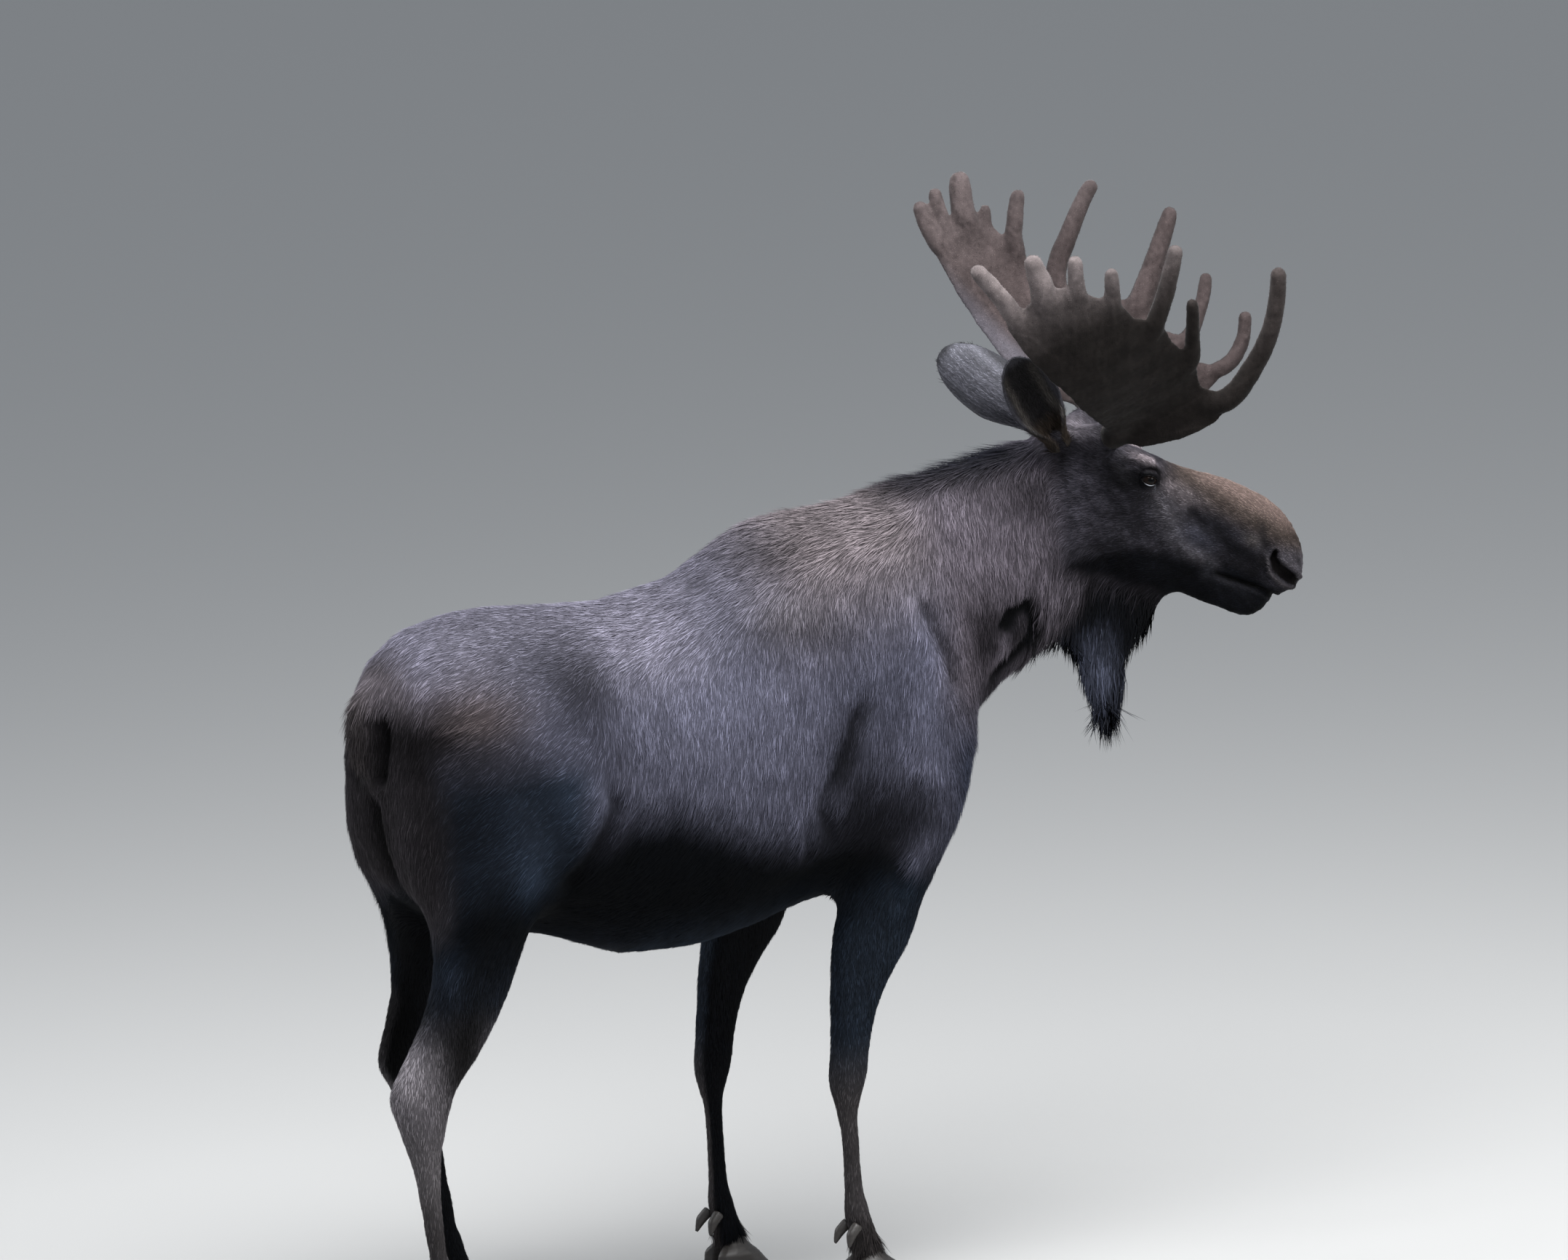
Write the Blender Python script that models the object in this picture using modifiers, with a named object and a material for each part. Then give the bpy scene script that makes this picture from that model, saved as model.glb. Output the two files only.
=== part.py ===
"""A bull moose in velvet, life size, as a museum shows it: standing with its head turned to its right.

The flesh is lofted from tables of named sizes, fused and smoothed as one body, and parted with thin cuts.
Ears, eyes, antlers, hooves and dewclaws are solids of their own, let into the flesh with a hair's clearance.
Metres, +Z up, +X towards the head, +Y to the animal's left. The feet stand on Z = 0.
"""

import math

import bmesh
import bpy
import numpy as np
from mathutils import Matrix, Vector

# ---------------------------------------------------------------- driving sizes
GAP = 0.0004  # clearance between neighbouring solids
RING = 30  # points round a lofted section
CLAW_RING = 10
SIDES = {"right": -1.0, "left": 1.0}

# How finely each shape is fused, and how often it is smoothed after that
BODY_VOXEL, HEAD_VOXEL, JOIN_VOXEL, ANTLER_VOXEL, EAR_VOXEL = 0.011, 0.006, 0.008, 0.0055, 0.0035
TRUNK_SMOOTHING = 45
LEG_SMOOTHING = 4
HEAD_SMOOTHING = 4
JOIN_SMOOTHING = 4
ANTLER_SMOOTHING = 4
EAR_SMOOTHING = 3
FLESH_TRIANGLES = 3220
ANTLER_TRIANGLES = 820
EAR_TRIANGLES = 220

# The head has its own frame: origin at the poll, X to the nose, Y left, Z up out of the forehead.
POLL = Vector((1.073, -0.090, 1.929))
HEAD_YAW = math.radians(-21.8)
HEAD_PITCH = math.radians(32.5)
HEAD_POSE = (
    Matrix.Translation(POLL)
    @ Matrix.Rotation(HEAD_YAW, 4, "Z")
    @ Matrix.Rotation(HEAD_PITCH, 4, "Y")
)

# A half section is given by its half-widths at these shares of the way from its top to its bottom.
FIVE_LEVELS = (0.06, 0.25, 0.50, 0.75, 0.93)

# x, top, bottom, then the half-widths at FIVE_LEVELS
TRUNK = (
    (-0.742, 1.50, 1.22, 0.040, 0.080, 0.095, 0.075, 0.035),
    (-0.722, 1.60, 1.12, 0.070, 0.130, 0.150, 0.130, 0.060),
    (-0.680, 1.662, 1.06, 0.095, 0.170, 0.195, 0.170, 0.085),
    (-0.600, 1.708, 1.00, 0.110, 0.205, 0.235, 0.210, 0.110),
    (-0.450, 1.727, 0.960, 0.105, 0.235, 0.275, 0.245, 0.130),
    (-0.300, 1.716, 0.915, 0.09, 0.235, 0.29, 0.27, 0.15),
    (-0.100, 1.700, 0.850, 0.08, 0.225, 0.30, 0.29, 0.17),
    (0.050, 1.725, 0.838, 0.07, 0.215, 0.30, 0.295, 0.175),
    (0.200, 1.790, 0.855, 0.06, 0.205, 0.29, 0.285, 0.165),
    (0.330, 1.845, 0.883, 0.055, 0.19, 0.275, 0.265, 0.15),
    (0.450, 1.861, 0.900, 0.05, 0.18, 0.255, 0.245, 0.135),
    (0.600, 1.850, 0.940, 0.055, 0.17, 0.225, 0.215, 0.12),
    (0.720, 1.800, 1.010, 0.06, 0.155, 0.19, 0.18, 0.10),
    (0.790, 1.690, 1.090, 0.05, 0.12, 0.145, 0.13, 0.07),
    (0.828, 1.520, 1.180, 0.03, 0.06, 0.07, 0.06, 0.03),
)

# top x, top z, bottom x, bottom z, sideways shift of the middle, then the half-widths at FIVE_LEVELS
NECK = (
    (0.40, 1.840, 0.55, 1.150, 0.000, 0.05, 0.15, 0.20, 0.20, 0.12),
    (0.56, 1.862, 0.74, 1.190, 0.000, 0.05, 0.145, 0.195, 0.195, 0.11),
    (0.696, 1.889, 0.875, 1.275, -0.010, 0.045, 0.125, 0.168, 0.165, 0.095),
    (0.816, 1.908, 0.965, 1.335, -0.030, 0.04, 0.11, 0.14, 0.135, 0.08),
    (0.930, 1.924, 1.055, 1.405, -0.058, 0.04, 0.105, 0.13, 0.125, 0.075),
    (1.030, 1.932, 1.150, 1.500, -0.088, 0.045, 0.10, 0.118, 0.11, 0.07),
    (1.100, 1.915, 1.225, 1.590, -0.115, 0.045, 0.09, 0.10, 0.09, 0.06),
)

# head frame: x, top, bottom, then the half-widths at FIVE_LEVELS
SKULL = (
    (-0.070, -0.045, -0.210, 0.030, 0.060, 0.068, 0.060, 0.030),
    (0.000, -0.002, -0.225, 0.045, 0.085, 0.092, 0.088, 0.050),
    (0.080, 0.036, -0.230, 0.058, 0.094, 0.098, 0.090, 0.050),
    (0.160, 0.054, -0.225, 0.066, 0.100, 0.102, 0.086, 0.050),
    (0.240, 0.068, -0.205, 0.064, 0.104, 0.102, 0.080, 0.045),
    (0.310, 0.073, -0.165, 0.052, 0.084, 0.090, 0.077, 0.045),
    (0.380, 0.088, -0.140, 0.046, 0.068, 0.077, 0.074, 0.046),
    (0.450, 0.103, -0.122, 0.043, 0.064, 0.071, 0.069, 0.044),
    (0.520, 0.106, -0.099, 0.044, 0.069, 0.076, 0.071, 0.044),
    (0.580, 0.098, -0.090, 0.046, 0.074, 0.082, 0.076, 0.046),
    (0.635, 0.074, -0.083, 0.044, 0.074, 0.082, 0.077, 0.048),
    (0.680, 0.034, -0.078, 0.036, 0.064, 0.072, 0.067, 0.042),
    (0.706, -0.004, -0.066, 0.022, 0.042, 0.048, 0.044, 0.026),
)
JAW = (
    (0.060, -0.090, -0.215, 0.030, 0.055, 0.060, 0.055, 0.030),
    (0.120, -0.080, -0.236, 0.045, 0.075, 0.083, 0.074, 0.042),
    (0.220, -0.060, -0.233, 0.050, 0.082, 0.088, 0.072, 0.040),
    (0.320, -0.045, -0.213, 0.048, 0.076, 0.080, 0.064, 0.036),
    (0.420, -0.045, -0.200, 0.040, 0.063, 0.067, 0.054, 0.033),
    (0.500, -0.068, -0.191, 0.034, 0.050, 0.056, 0.048, 0.031),
    (0.570, -0.086, -0.184, 0.033, 0.046, 0.051, 0.047, 0.031),
    (0.620, -0.088, -0.178, 0.033, 0.045, 0.050, 0.046, 0.031),
    (0.652, -0.094, -0.161, 0.025, 0.036, 0.040, 0.036, 0.024),
    (0.670, -0.106, -0.135, 0.012, 0.018, 0.020, 0.018, 0.012),
)

# The bell: a flap under the throat that ends in a hanging lobe.
# head frame: front x, front z, back x, back z, half-thickness
BELL = (
    (0.430, -0.160, 0.060, -0.230, 0.046),
    (0.452, -0.215, 0.120, -0.330, 0.044),
    (0.462, -0.262, 0.200, -0.400, 0.038),
    (0.450, -0.320, 0.290, -0.425, 0.034),
    (0.446, -0.375, 0.335, -0.455, 0.031),
    (0.462, -0.430, 0.372, -0.487, 0.028),
    (0.482, -0.480, 0.408, -0.517, 0.023),
    (0.488, -0.530, 0.440, -0.548, 0.015),
)

# z, middle x, half-depth, half-width, distance from the midline
FORELEG = (
    (1.66, 0.500, 0.085, 0.035, 0.085),
    (1.50, 0.540, 0.140, 0.070, 0.125),
    (1.32, 0.590, 0.175, 0.088, 0.150),
    (1.16, 0.595, 0.180, 0.096, 0.165),
    (1.02, 0.555, 0.150, 0.092, 0.175),
    (0.904, 0.499, 0.113, 0.080, 0.178),
    (0.805, 0.467, 0.101, 0.067, 0.178),
    (0.724, 0.434, 0.077, 0.055, 0.176),
    (0.640, 0.411, 0.060, 0.047, 0.174),
    (0.556, 0.399, 0.053, 0.045, 0.172),
    (0.505, 0.392, 0.053, 0.047, 0.170),
    (0.460, 0.387, 0.043, 0.040, 0.168),
    (0.410, 0.388, 0.032, 0.029, 0.167),
    (0.330, 0.392, 0.029, 0.026, 0.166),
    (0.230, 0.395, 0.030, 0.028, 0.165),
    (0.165, 0.400, 0.040, 0.036, 0.165),
    (0.120, 0.412, 0.038, 0.038, 0.165),
    (0.072, 0.428, 0.046, 0.048, 0.165),
)
HINDLEG = (
    (1.58, -0.470, 0.110, 0.060, 0.120),
    (1.48, -0.475, 0.190, 0.100, 0.135),
    (1.38, -0.480, 0.225, 0.118, 0.142),
    (1.294, -0.483, 0.245, 0.125, 0.148),
    (1.213, -0.497, 0.240, 0.122, 0.152),
    (1.131, -0.520, 0.213, 0.112, 0.158),
    (1.047, -0.540, 0.170, 0.098, 0.163),
    (0.966, -0.566, 0.132, 0.082, 0.166),
    (0.884, -0.590, 0.112, 0.068, 0.167),
    (0.805, -0.626, 0.104, 0.058, 0.166),
    (0.728, -0.675, 0.104, 0.052, 0.164),
    (0.675, -0.713, 0.100, 0.049, 0.162),
    (0.632, -0.738, 0.090, 0.047, 0.160),
    (0.567, -0.737, 0.066, 0.045, 0.158),
    (0.480, -0.733, 0.045, 0.035, 0.157),
    (0.400, -0.727, 0.035, 0.030, 0.156),
    (0.250, -0.715, 0.032, 0.029, 0.155),
    (0.165, -0.703, 0.041, 0.037, 0.155),
    (0.120, -0.688, 0.038, 0.038, 0.155),
    (0.072, -0.668, 0.046, 0.048, 0.155),
)
# How far each leg is set forward of the tables above: (z, shift)
STRIDE = {
    ("fore", "right"): ((1.6, 0.0), (0.0, 0.0)),
    ("fore", "left"): ((1.5, 0.0), (1.2, -0.055), (0.9, -0.125), (0.55, -0.162), (0.0, -0.180)),
    ("hind", "right"): ((1.6, 0.0), (0.0, 0.0)),
    ("hind", "left"): ((1.45, 0.0), (1.2, 0.015), (0.98, 0.060), (0.60, 0.160), (0.3, 0.195), (0.0, 0.205)),
}

# Muscle and bone that stand out from the lofts: centre, half-sizes, all mirrored
LUMPS = {
    "point_of_shoulder": ((0.725, 0.145, 1.270), (0.095, 0.080, 0.140)),
    "brisket": ((0.690, 0.035, 1.080), (0.115, 0.080, 0.095)),
    "upper_arm": ((0.590, 0.170, 1.130), (0.160, 0.090, 0.170)),
    "stifle": ((-0.340, 0.180, 1.190), (0.095, 0.070, 0.130)),
    "flank_fold": ((-0.270, 0.180, 1.240), (0.140, 0.055, 0.110)),
    "pin_bone": ((-0.662, 0.115, 1.430), (0.078, 0.072, 0.125)),
}
HEAD_LUMPS = {
    "brow": ((0.232, 0.084, 0.040), (0.052, 0.026, 0.024)),
    "lids": ((0.247, 0.090, 0.014), (0.036, 0.0185, 0.032)),
    "ear_root": ((-0.004, 0.078, -0.018), (0.052, 0.046, 0.052)),
    "crown": ((0.050, 0.045, 0.000), (0.080, 0.055, 0.045)),
    "nostril_wing": ((0.640, 0.058, -0.022), (0.045, 0.026, 0.042)),
    "upper_lip": ((0.650, 0.030, -0.062), (0.045, 0.050, 0.026)),
    "lower_lip": ((0.630, 0.012, -0.125), (0.038, 0.042, 0.040)),
}
MIDLINE_LUMPS = {
    "sheath": ((-0.050, 0.0, 0.856), (0.120, 0.032, 0.024)),
    "pouch": ((-0.520, 0.0, 1.005), (0.052, 0.048, 0.070)),
}

EYE_CENTRE = (0.247, 0.095, 0.014)  # head frame, mirrored
EYE_RADIUS = 0.0205
NOSTRIL = ((0.668, 0.072, -0.038), (0.028, 0.018, 0.021))
BURR = (0.110, 0.135, 0.068)  # where an antler leaves its pedicle
PEDICLE_ROOT = (0.080, 0.055, 0.012)
PEDICLE_RADIUS = 0.040

# x, z, half-width, half-thickness
TAIL = (
    (-0.665, 1.570, 0.040, 0.036),
    (-0.722, 1.562, 0.048, 0.042),
    (-0.757, 1.520, 0.048, 0.040),
    (-0.768, 1.465, 0.042, 0.032),
    (-0.768, 1.410, 0.032, 0.024),
    (-0.765, 1.375, 0.014, 0.013),
)

EAR_WALL = 0.009
EAR_ROOT = (0.003, 0.098, -0.003)  # head frame, mirrored
EAR_WIDEST = 0.48  # share of its length at which the ear is widest
# head frame: from root to tip, the way the hollow faces, half-width
EARS = {
    "right": ((-0.207, -0.098, 0.118), (0.28, -0.95, -0.10), 0.064),
    "left": ((-0.271, 0.094, 0.028), (0.18, 0.90, 0.36), 0.080),
}

# Antlers fan out from the burr. Angles are in the head's side view, from +X up and back, in degrees.
# Reaches are from the burr in that view. How far a point stands out sideways follows from the two.
ANTLER_STANDOFF = 0.40
ANTLER_SETTLING = 0.20  # reach at which most of the standing out is done
STANDOFF_SHARES = ((20.0, 0.45), (60.0, 0.50), (95.0, 0.80), (125.0, 1.00), (145.0, 1.02), (165.0, 0.92))
PALM_HALF_THICKNESS = (0.015, 0.0105)  # near the burr, at the rim
# tine: angle and reach at its root, its middle and its tip, then its radius at root and tip
TINES = {
    "right": {
        "rear": ((159.8, 0.440), (159.3, 0.510), (159.5, 0.592), 0.026, 0.022),
        "second": ((149.5, 0.440), (148.5, 0.490), (147.9, 0.538), 0.034, 0.024),
        "third": ((140.0, 0.415), (139.0, 0.460), (137.9, 0.498), 0.023, 0.020),
        "fourth": ((129.0, 0.365), (128.8, 0.410), (128.5, 0.445), 0.022, 0.019),
        "fifth": ((111.0, 0.300), (109.6, 0.396), (109.5, 0.490), 0.025, 0.021),
        "sixth": ((83.0, 0.235), (92.5, 0.312), (98.6, 0.376), 0.022, 0.017),
        "brow": ((52.0, 0.250), (62.8, 0.372), (79.6, 0.534), 0.030, 0.021),
    },
    "left": {
        "rear": ((160.0, 0.465), (158.9, 0.520), (157.5, 0.562), 0.024, 0.021),
        "second": ((155.8, 0.475), (154.2, 0.525), (152.6, 0.566), 0.022, 0.019),
        "third": ((149.5, 0.465), (147.6, 0.520), (145.8, 0.560), 0.032, 0.027),
        "fourth": ((145.8, 0.420), (144.4, 0.450), (143.0, 0.474), 0.019, 0.016),
        "fifth": ((138.8, 0.365), (135.6, 0.430), (133.0, 0.479), 0.025, 0.020),
        "sixth": ((126.3, 0.262), (118.4, 0.385), (112.9, 0.491), 0.028, 0.021),
        "brow_upper": ((85.4, 0.262), (88.2, 0.388), (90.5, 0.489), 0.032, 0.021),
        "brow_middle": ((59.5, 0.285), (65.6, 0.362), (71.6, 0.420), 0.021, 0.018),
        "brow_lower": ((42.0, 0.345), (47.8, 0.410), (55.2, 0.444), 0.022, 0.018),
    },
}
# The palm's rim between the tines, as angle and reach from the front round to the rear
PALM_RIM = {
    "right": (
        (2.0, 0.055), (21.6, 0.104), (33.2, 0.165), (44.0, 0.240), (52.0, 0.270), (66.8, 0.231),
        (83.0, 0.262), (97.8, 0.276), (110.0, 0.320), (120.1, 0.332), (129.0, 0.390), (134.1, 0.402),
        (140.0, 0.440), (143.9, 0.457), (149.5, 0.468), (156.3, 0.458), (160.0, 0.470), (163.4, 0.450),
        (166.4, 0.330), (168.9, 0.170), (178.0, 0.040),
    ),
    "left": (
        (0.0, 0.070), (12.0, 0.150), (24.0, 0.230), (34.0, 0.310), (41.0, 0.350), (50.5, 0.290),
        (59.0, 0.300), (70.0, 0.268), (85.0, 0.285), (107.0, 0.222), (124.0, 0.270), (134.0, 0.300),
        (141.5, 0.410), (145.3, 0.470), (149.5, 0.490), (152.9, 0.500), (155.5, 0.508), (160.2, 0.500),
        (165.1, 0.400), (172.1, 0.275), (178.0, 0.210), (188.0, 0.150), (200.0, 0.095),
    ),
}
FORK_ANGLE = {"right": 66.8, "left": 107.0}  # where the brow part leaves the main palm
FORK_REACH = 0.290
BEAM_REACH = 0.088  # out to this reach the beam is its own part

HOOF_HALF_WIDTH = 0.028
HOOF_HEIGHT = 0.086
CLAW_SPACING = 0.0305  # from the foot's middle to a claw's middle
DEWCLAW_HEIGHT = 0.148

# Where the flesh is parted. Cuts across the legs are at these heights.
LEG_CUTS = {"fore": (0.830, 0.430, 0.180), "hind": (0.885, 0.500, 0.180)}
LEG_PARTS = ("upper_leg", "lower_leg", "pastern")
SHOULDER_CUT = ((0.655, 1.910), (0.850, 1.180))  # x, z
HEAD_CUT = ((-0.078, 0.060), (0.300, -0.455))  # x, z in the head frame
BELL_CUT = ((0.500, -0.199), (0.1565, -0.2608))  # x, z in the head frame

COLOURS = {
    "body_hair": (0.036, 0.031, 0.034, 1.0),
    "face_hair": (0.060, 0.044, 0.036, 1.0),
    "leg_hair": (0.085, 0.072, 0.070, 1.0),
    "velvet": (0.085, 0.066, 0.056, 1.0),
    "horn": (0.030, 0.026, 0.024, 1.0),
    "eye": (0.012, 0.008, 0.006, 1.0),
}
ROUGHNESS = {"horn": 0.45, "eye": 0.06}


# ---------------------------------------------------------------- curves and sections
def smooth_rows(keys, rows, at):
    """Rows of numbers given at rising keys, read at other places along a curve that doesn't overshoot."""
    keys, rows, at = np.asarray(keys, float), np.asarray(rows, float), np.asarray(at, float)
    steps = np.diff(keys)[:, None]
    slopes = np.diff(rows, axis=0) / steps
    tangents = np.zeros_like(rows)
    tangents[0], tangents[-1] = slopes[0], slopes[-1]
    before, after = slopes[:-1], slopes[1:]
    same = before * after > 0
    weight_a, weight_b = 2 * steps[1:] + steps[:-1], steps[1:] + 2 * steps[:-1]
    parts = weight_a / np.where(same, before, 1) + weight_b / np.where(same, after, 1)
    mean = (weight_a + weight_b) / parts
    tangents[1:-1] = np.where(same, mean, 0)
    i = np.clip(np.searchsorted(keys, at, side="right") - 1, 0, len(keys) - 2)
    h = (keys[i + 1] - keys[i])[:, None]
    t = (at - keys[i])[:, None] / h
    return (
        (1 + 2 * t) * (1 - t) ** 2 * rows[i]
        + t * (1 - t) ** 2 * h * tangents[i]
        + t * t * (3 - 2 * t) * rows[i + 1]
        + t * t * (t - 1) * h * tangents[i + 1]
    )


def closed_curve(points, count):
    """A closed Catmull-Rom curve through the points, at count even parameters."""
    points = np.asarray(points, float)
    n = len(points)
    at = np.arange(count) * n / count
    i = at.astype(int)
    t = (at - i)[:, None]
    a, b, c, d = (points[(i + k) % n] for k in (-1, 0, 1, 2))
    return 0.5 * (2 * b + (c - a) * t + (2 * a - 5 * b + 4 * c - d) * t**2 + (3 * b - a - 3 * c + d) * t**3)


def half_section(top, bottom, widths):
    """The ring of (side, height) points of a section with these half-widths at FIVE_LEVELS."""
    levels = [top + share * (bottom - top) for share in FIVE_LEVELS]
    left = list(zip(widths, levels))
    right = [(-w, z) for w, z in reversed(left)]
    return closed_curve([(0, top), *left, (0, bottom), *right], RING)


def ellipse(half_depth, half_width, squareness=2.3):
    """The ring of (along, side) points of a rounded section."""
    turn = np.linspace(0, 2 * math.pi, RING, endpoint=False)
    power = 2 / squareness
    along = np.sign(np.cos(turn)) * np.abs(np.cos(turn)) ** power
    side = np.sign(np.sin(turn)) * np.abs(np.sin(turn)) ** power
    return np.stack([half_depth * along, half_width * side], 1)


# ---------------------------------------------------------------- mesh makers
def material(slot):
    found = bpy.data.materials.get(slot)
    if found:
        return found
    made = bpy.data.materials.new(slot)
    made.use_nodes = True
    shader = made.node_tree.nodes["Principled BSDF"]
    shader.inputs["Base Color"].default_value = COLOURS[slot]
    shader.inputs["Roughness"].default_value = ROUGHNESS.get(slot, 0.8)
    shader.inputs["Metallic"].default_value = 0.0
    made.diffuse_color = COLOURS[slot]
    return made


def new_object(name, mesh, collection):
    made = bpy.data.objects.new(name, mesh)
    collection.objects.link(made)
    return made


def mesh_from(bm, name):
    bmesh.ops.recalc_face_normals(bm, faces=bm.faces)
    bmesh.ops.triangulate(bm, faces=bm.faces)
    mesh = bpy.data.meshes.new(name)
    bm.to_mesh(mesh)
    bm.free()
    return mesh


def skin_rings(bm, rings):
    """A closed tube through the rings, flat at both ends."""
    rows = [[bm.verts.new(p) for p in ring] for ring in rings]
    count = len(rows[0])
    for a, b in zip(rows, rows[1:]):
        for k in range(count):
            bm.faces.new((a[k], a[(k + 1) % count], b[(k + 1) % count], b[k]))
    bm.faces.new(reversed(rows[0]))
    bm.faces.new(rows[-1])


def add_lump(bm, centre, half_sizes, frame=Matrix.Identity(4)):
    scale = Matrix.Diagonal((*half_sizes, 1.0))
    bmesh.ops.create_uvsphere(
        bm, u_segments=20, v_segments=12, radius=1.0, matrix=frame @ Matrix.Translation(centre) @ scale
    )


def add_tube(bm, points, radii, sides=RING // 2):
    """A tube along the points, with a radius at each."""
    points = [Vector(p) for p in points]
    rings = []
    last = len(points) - 1
    for i, centre in enumerate(points):
        along = (points[min(i + 1, last)] - points[max(i - 1, 0)]).normalized()
        up = (Vector((0, 1, 0)) - along.y * along).normalized()
        out = along.cross(up)
        turns = np.linspace(0, 2 * math.pi, sides, endpoint=False)
        rings.append([centre + radii[i] * (math.cos(t) * out + math.sin(t) * up) for t in turns])
    skin_rings(bm, rings)


def evaluated_mesh(obj):
    graph = bpy.context.evaluated_depsgraph_get()
    return bpy.data.meshes.new_from_object(obj.evaluated_get(graph))


def bake(obj):
    """Replaces the object's mesh by what its modifiers make of it."""
    mesh = evaluated_mesh(obj)
    obj.modifiers.clear()
    obj.data = mesh
    return obj


def fuse(obj, voxel, smoothing):
    """Makes one smooth closed surface of all the closed shapes in the object."""
    remesh = obj.modifiers.new("fuse", "REMESH")
    remesh.mode = "VOXEL"
    remesh.voxel_size = voxel
    soften = obj.modifiers.new("soften", "SMOOTH")
    soften.factor = 0.5
    soften.iterations = smoothing
    return bake(obj)


def thin_out(obj, triangles, coarseness=None):
    """Cuts the triangle count, most where coarseness(point) is near 1."""
    count = sum(len(face.vertices) - 2 for face in obj.data.polygons)
    decimate = obj.modifiers.new("thin_out", "DECIMATE")
    decimate.ratio = triangles / count
    decimate.use_collapse_triangulate = True
    if coarseness:
        group = obj.vertex_groups.new(name="coarse")
        for vertex in obj.data.vertices:
            group.add([vertex.index], coarseness(vertex.co), "REPLACE")
        decimate.vertex_group = "coarse"
        decimate.vertex_group_factor = 1.0
    return bake(obj)


def cut(obj, cutter):
    boolean = obj.modifiers.new("cut", "BOOLEAN")
    boolean.operation = "DIFFERENCE"
    boolean.solver = "EXACT"
    boolean.object = cutter
    return bake(obj)


# ---------------------------------------------------------------- the body
def trunk_shape(bm):
    table = np.array(TRUNK)
    stations = np.linspace(table[0, 0], table[-1, 0], 60)
    rings = []
    for x, row in zip(stations, smooth_rows(table[:, 0], table[:, 1:], stations)):
        rings.append([(x, side, height) for side, height in half_section(row[0], row[1], row[2:])])
    skin_rings(bm, rings)


def neck_shape(bm):
    table = np.array(NECK)
    keys = np.arange(len(table))
    rings = []
    for row in smooth_rows(keys, table, np.linspace(0, keys[-1], 34)):
        top, bottom = Vector((row[0], row[4], row[1])), Vector((row[2], row[4], row[3]))
        turned = HEAD_YAW * min(1.0, max(0.0, (row[0] - NECK[1][0]) / (NECK[-1][0] - NECK[1][0])))
        sideways = Vector((-math.sin(turned), math.cos(turned), 0))
        ring = []
        for side, share in half_section(0.0, 1.0, row[5:]):
            ring.append(top + (bottom - top) * share + sideways * side)
        rings.append(ring)
    skin_rings(bm, rings)


def stride(limb, side, z):
    table = np.array(sorted(STRIDE[limb, side]))
    return float(smooth_rows(table[:, 0], table[:, 1:], [z])[0, 0])


def leg_shape(bm, limb, side):
    table = np.array(sorted(FORELEG if limb == "fore" else HINDLEG))
    heights = np.linspace(table[0, 0], table[-1, 0], 80)
    rings = []
    for z, (x, depth, width, out) in zip(heights, smooth_rows(table[:, 0], table[:, 1:], heights)):
        x += stride(limb, side, z)
        rings.append([(x + a, SIDES[side] * out + b, z) for a, b in ellipse(depth, width)])
    skin_rings(bm, rings)


def tail(collection):
    points = [Vector((x, 0, z)) for x, z, _, _ in TAIL]
    bm = bmesh.new()
    rings = []
    for i, (_, _, width, thickness) in enumerate(TAIL):
        along = (points[min(i + 1, len(points) - 1)] - points[max(i - 1, 0)]).normalized()
        out = along.cross(Vector((0, 1, 0)))
        ring = ellipse(thickness, width, 2.0)[::3]
        rings.append([points[i] + out * a + Vector((0, b, 0)) for a, b in ring])
    skin_rings(bm, rings)
    return new_object("tail", mesh_from(bm, "tail"), collection)


def body(collection):
    bm = bmesh.new()
    trunk_shape(bm)
    neck_shape(bm)
    for side, sign in SIDES.items():
        for limb in ("fore", "hind"):
            leg_shape(bm, limb, side)
        for (x, y, z), sizes in LUMPS.values():
            x += 0.35 * stride("fore" if x > 0 else "hind", side, z)
            add_lump(bm, (x, sign * y, z), sizes)
    for centre, sizes in MIDLINE_LUMPS.values():
        add_lump(bm, centre, sizes)
    made = fuse(new_object("body", mesh_from(bm, "body"), collection), BODY_VOXEL, LEG_SMOOTHING)
    soft = made.vertex_groups.new(name="soft")
    for vertex in made.data.vertices:
        soft.add([vertex.index], smooth_step((vertex.co.z - 0.86) / 0.22), "REPLACE")
    soften = made.modifiers.new("soften", "SMOOTH")
    soften.factor = 0.5
    soften.iterations = TRUNK_SMOOTHING
    soften.vertex_group = "soft"
    return bake(made)


# ---------------------------------------------------------------- the head
def loft_along_x(bm, table, count):
    table = np.array(table)
    stations = np.linspace(table[0, 0], table[-1, 0], count)
    rings = []
    for x, row in zip(stations, smooth_rows(table[:, 0], table[:, 1:], stations)):
        ring = half_section(row[0], row[1], row[2:])
        rings.append([HEAD_POSE @ Vector((x, side, height)) for side, height in ring])
    skin_rings(bm, rings)


def bell_shape(bm):
    table = np.array(BELL)
    keys = np.arange(len(table))
    rings = []
    for row in smooth_rows(keys, table, np.linspace(0, keys[-1], 30)):
        front, back = Vector((row[0], 0, row[1])), Vector((row[2], 0, row[3]))
        middle, reach = (front + back) / 2, (front - back) / 2
        ring = []
        for along, side in ellipse(1.0, row[4]):
            ring.append(HEAD_POSE @ (middle + reach * along + Vector((0, side, 0))))
        rings.append(ring)
    skin_rings(bm, rings)


def side_point(sign, point):
    return Vector((point[0], sign * point[1], point[2]))


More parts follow.
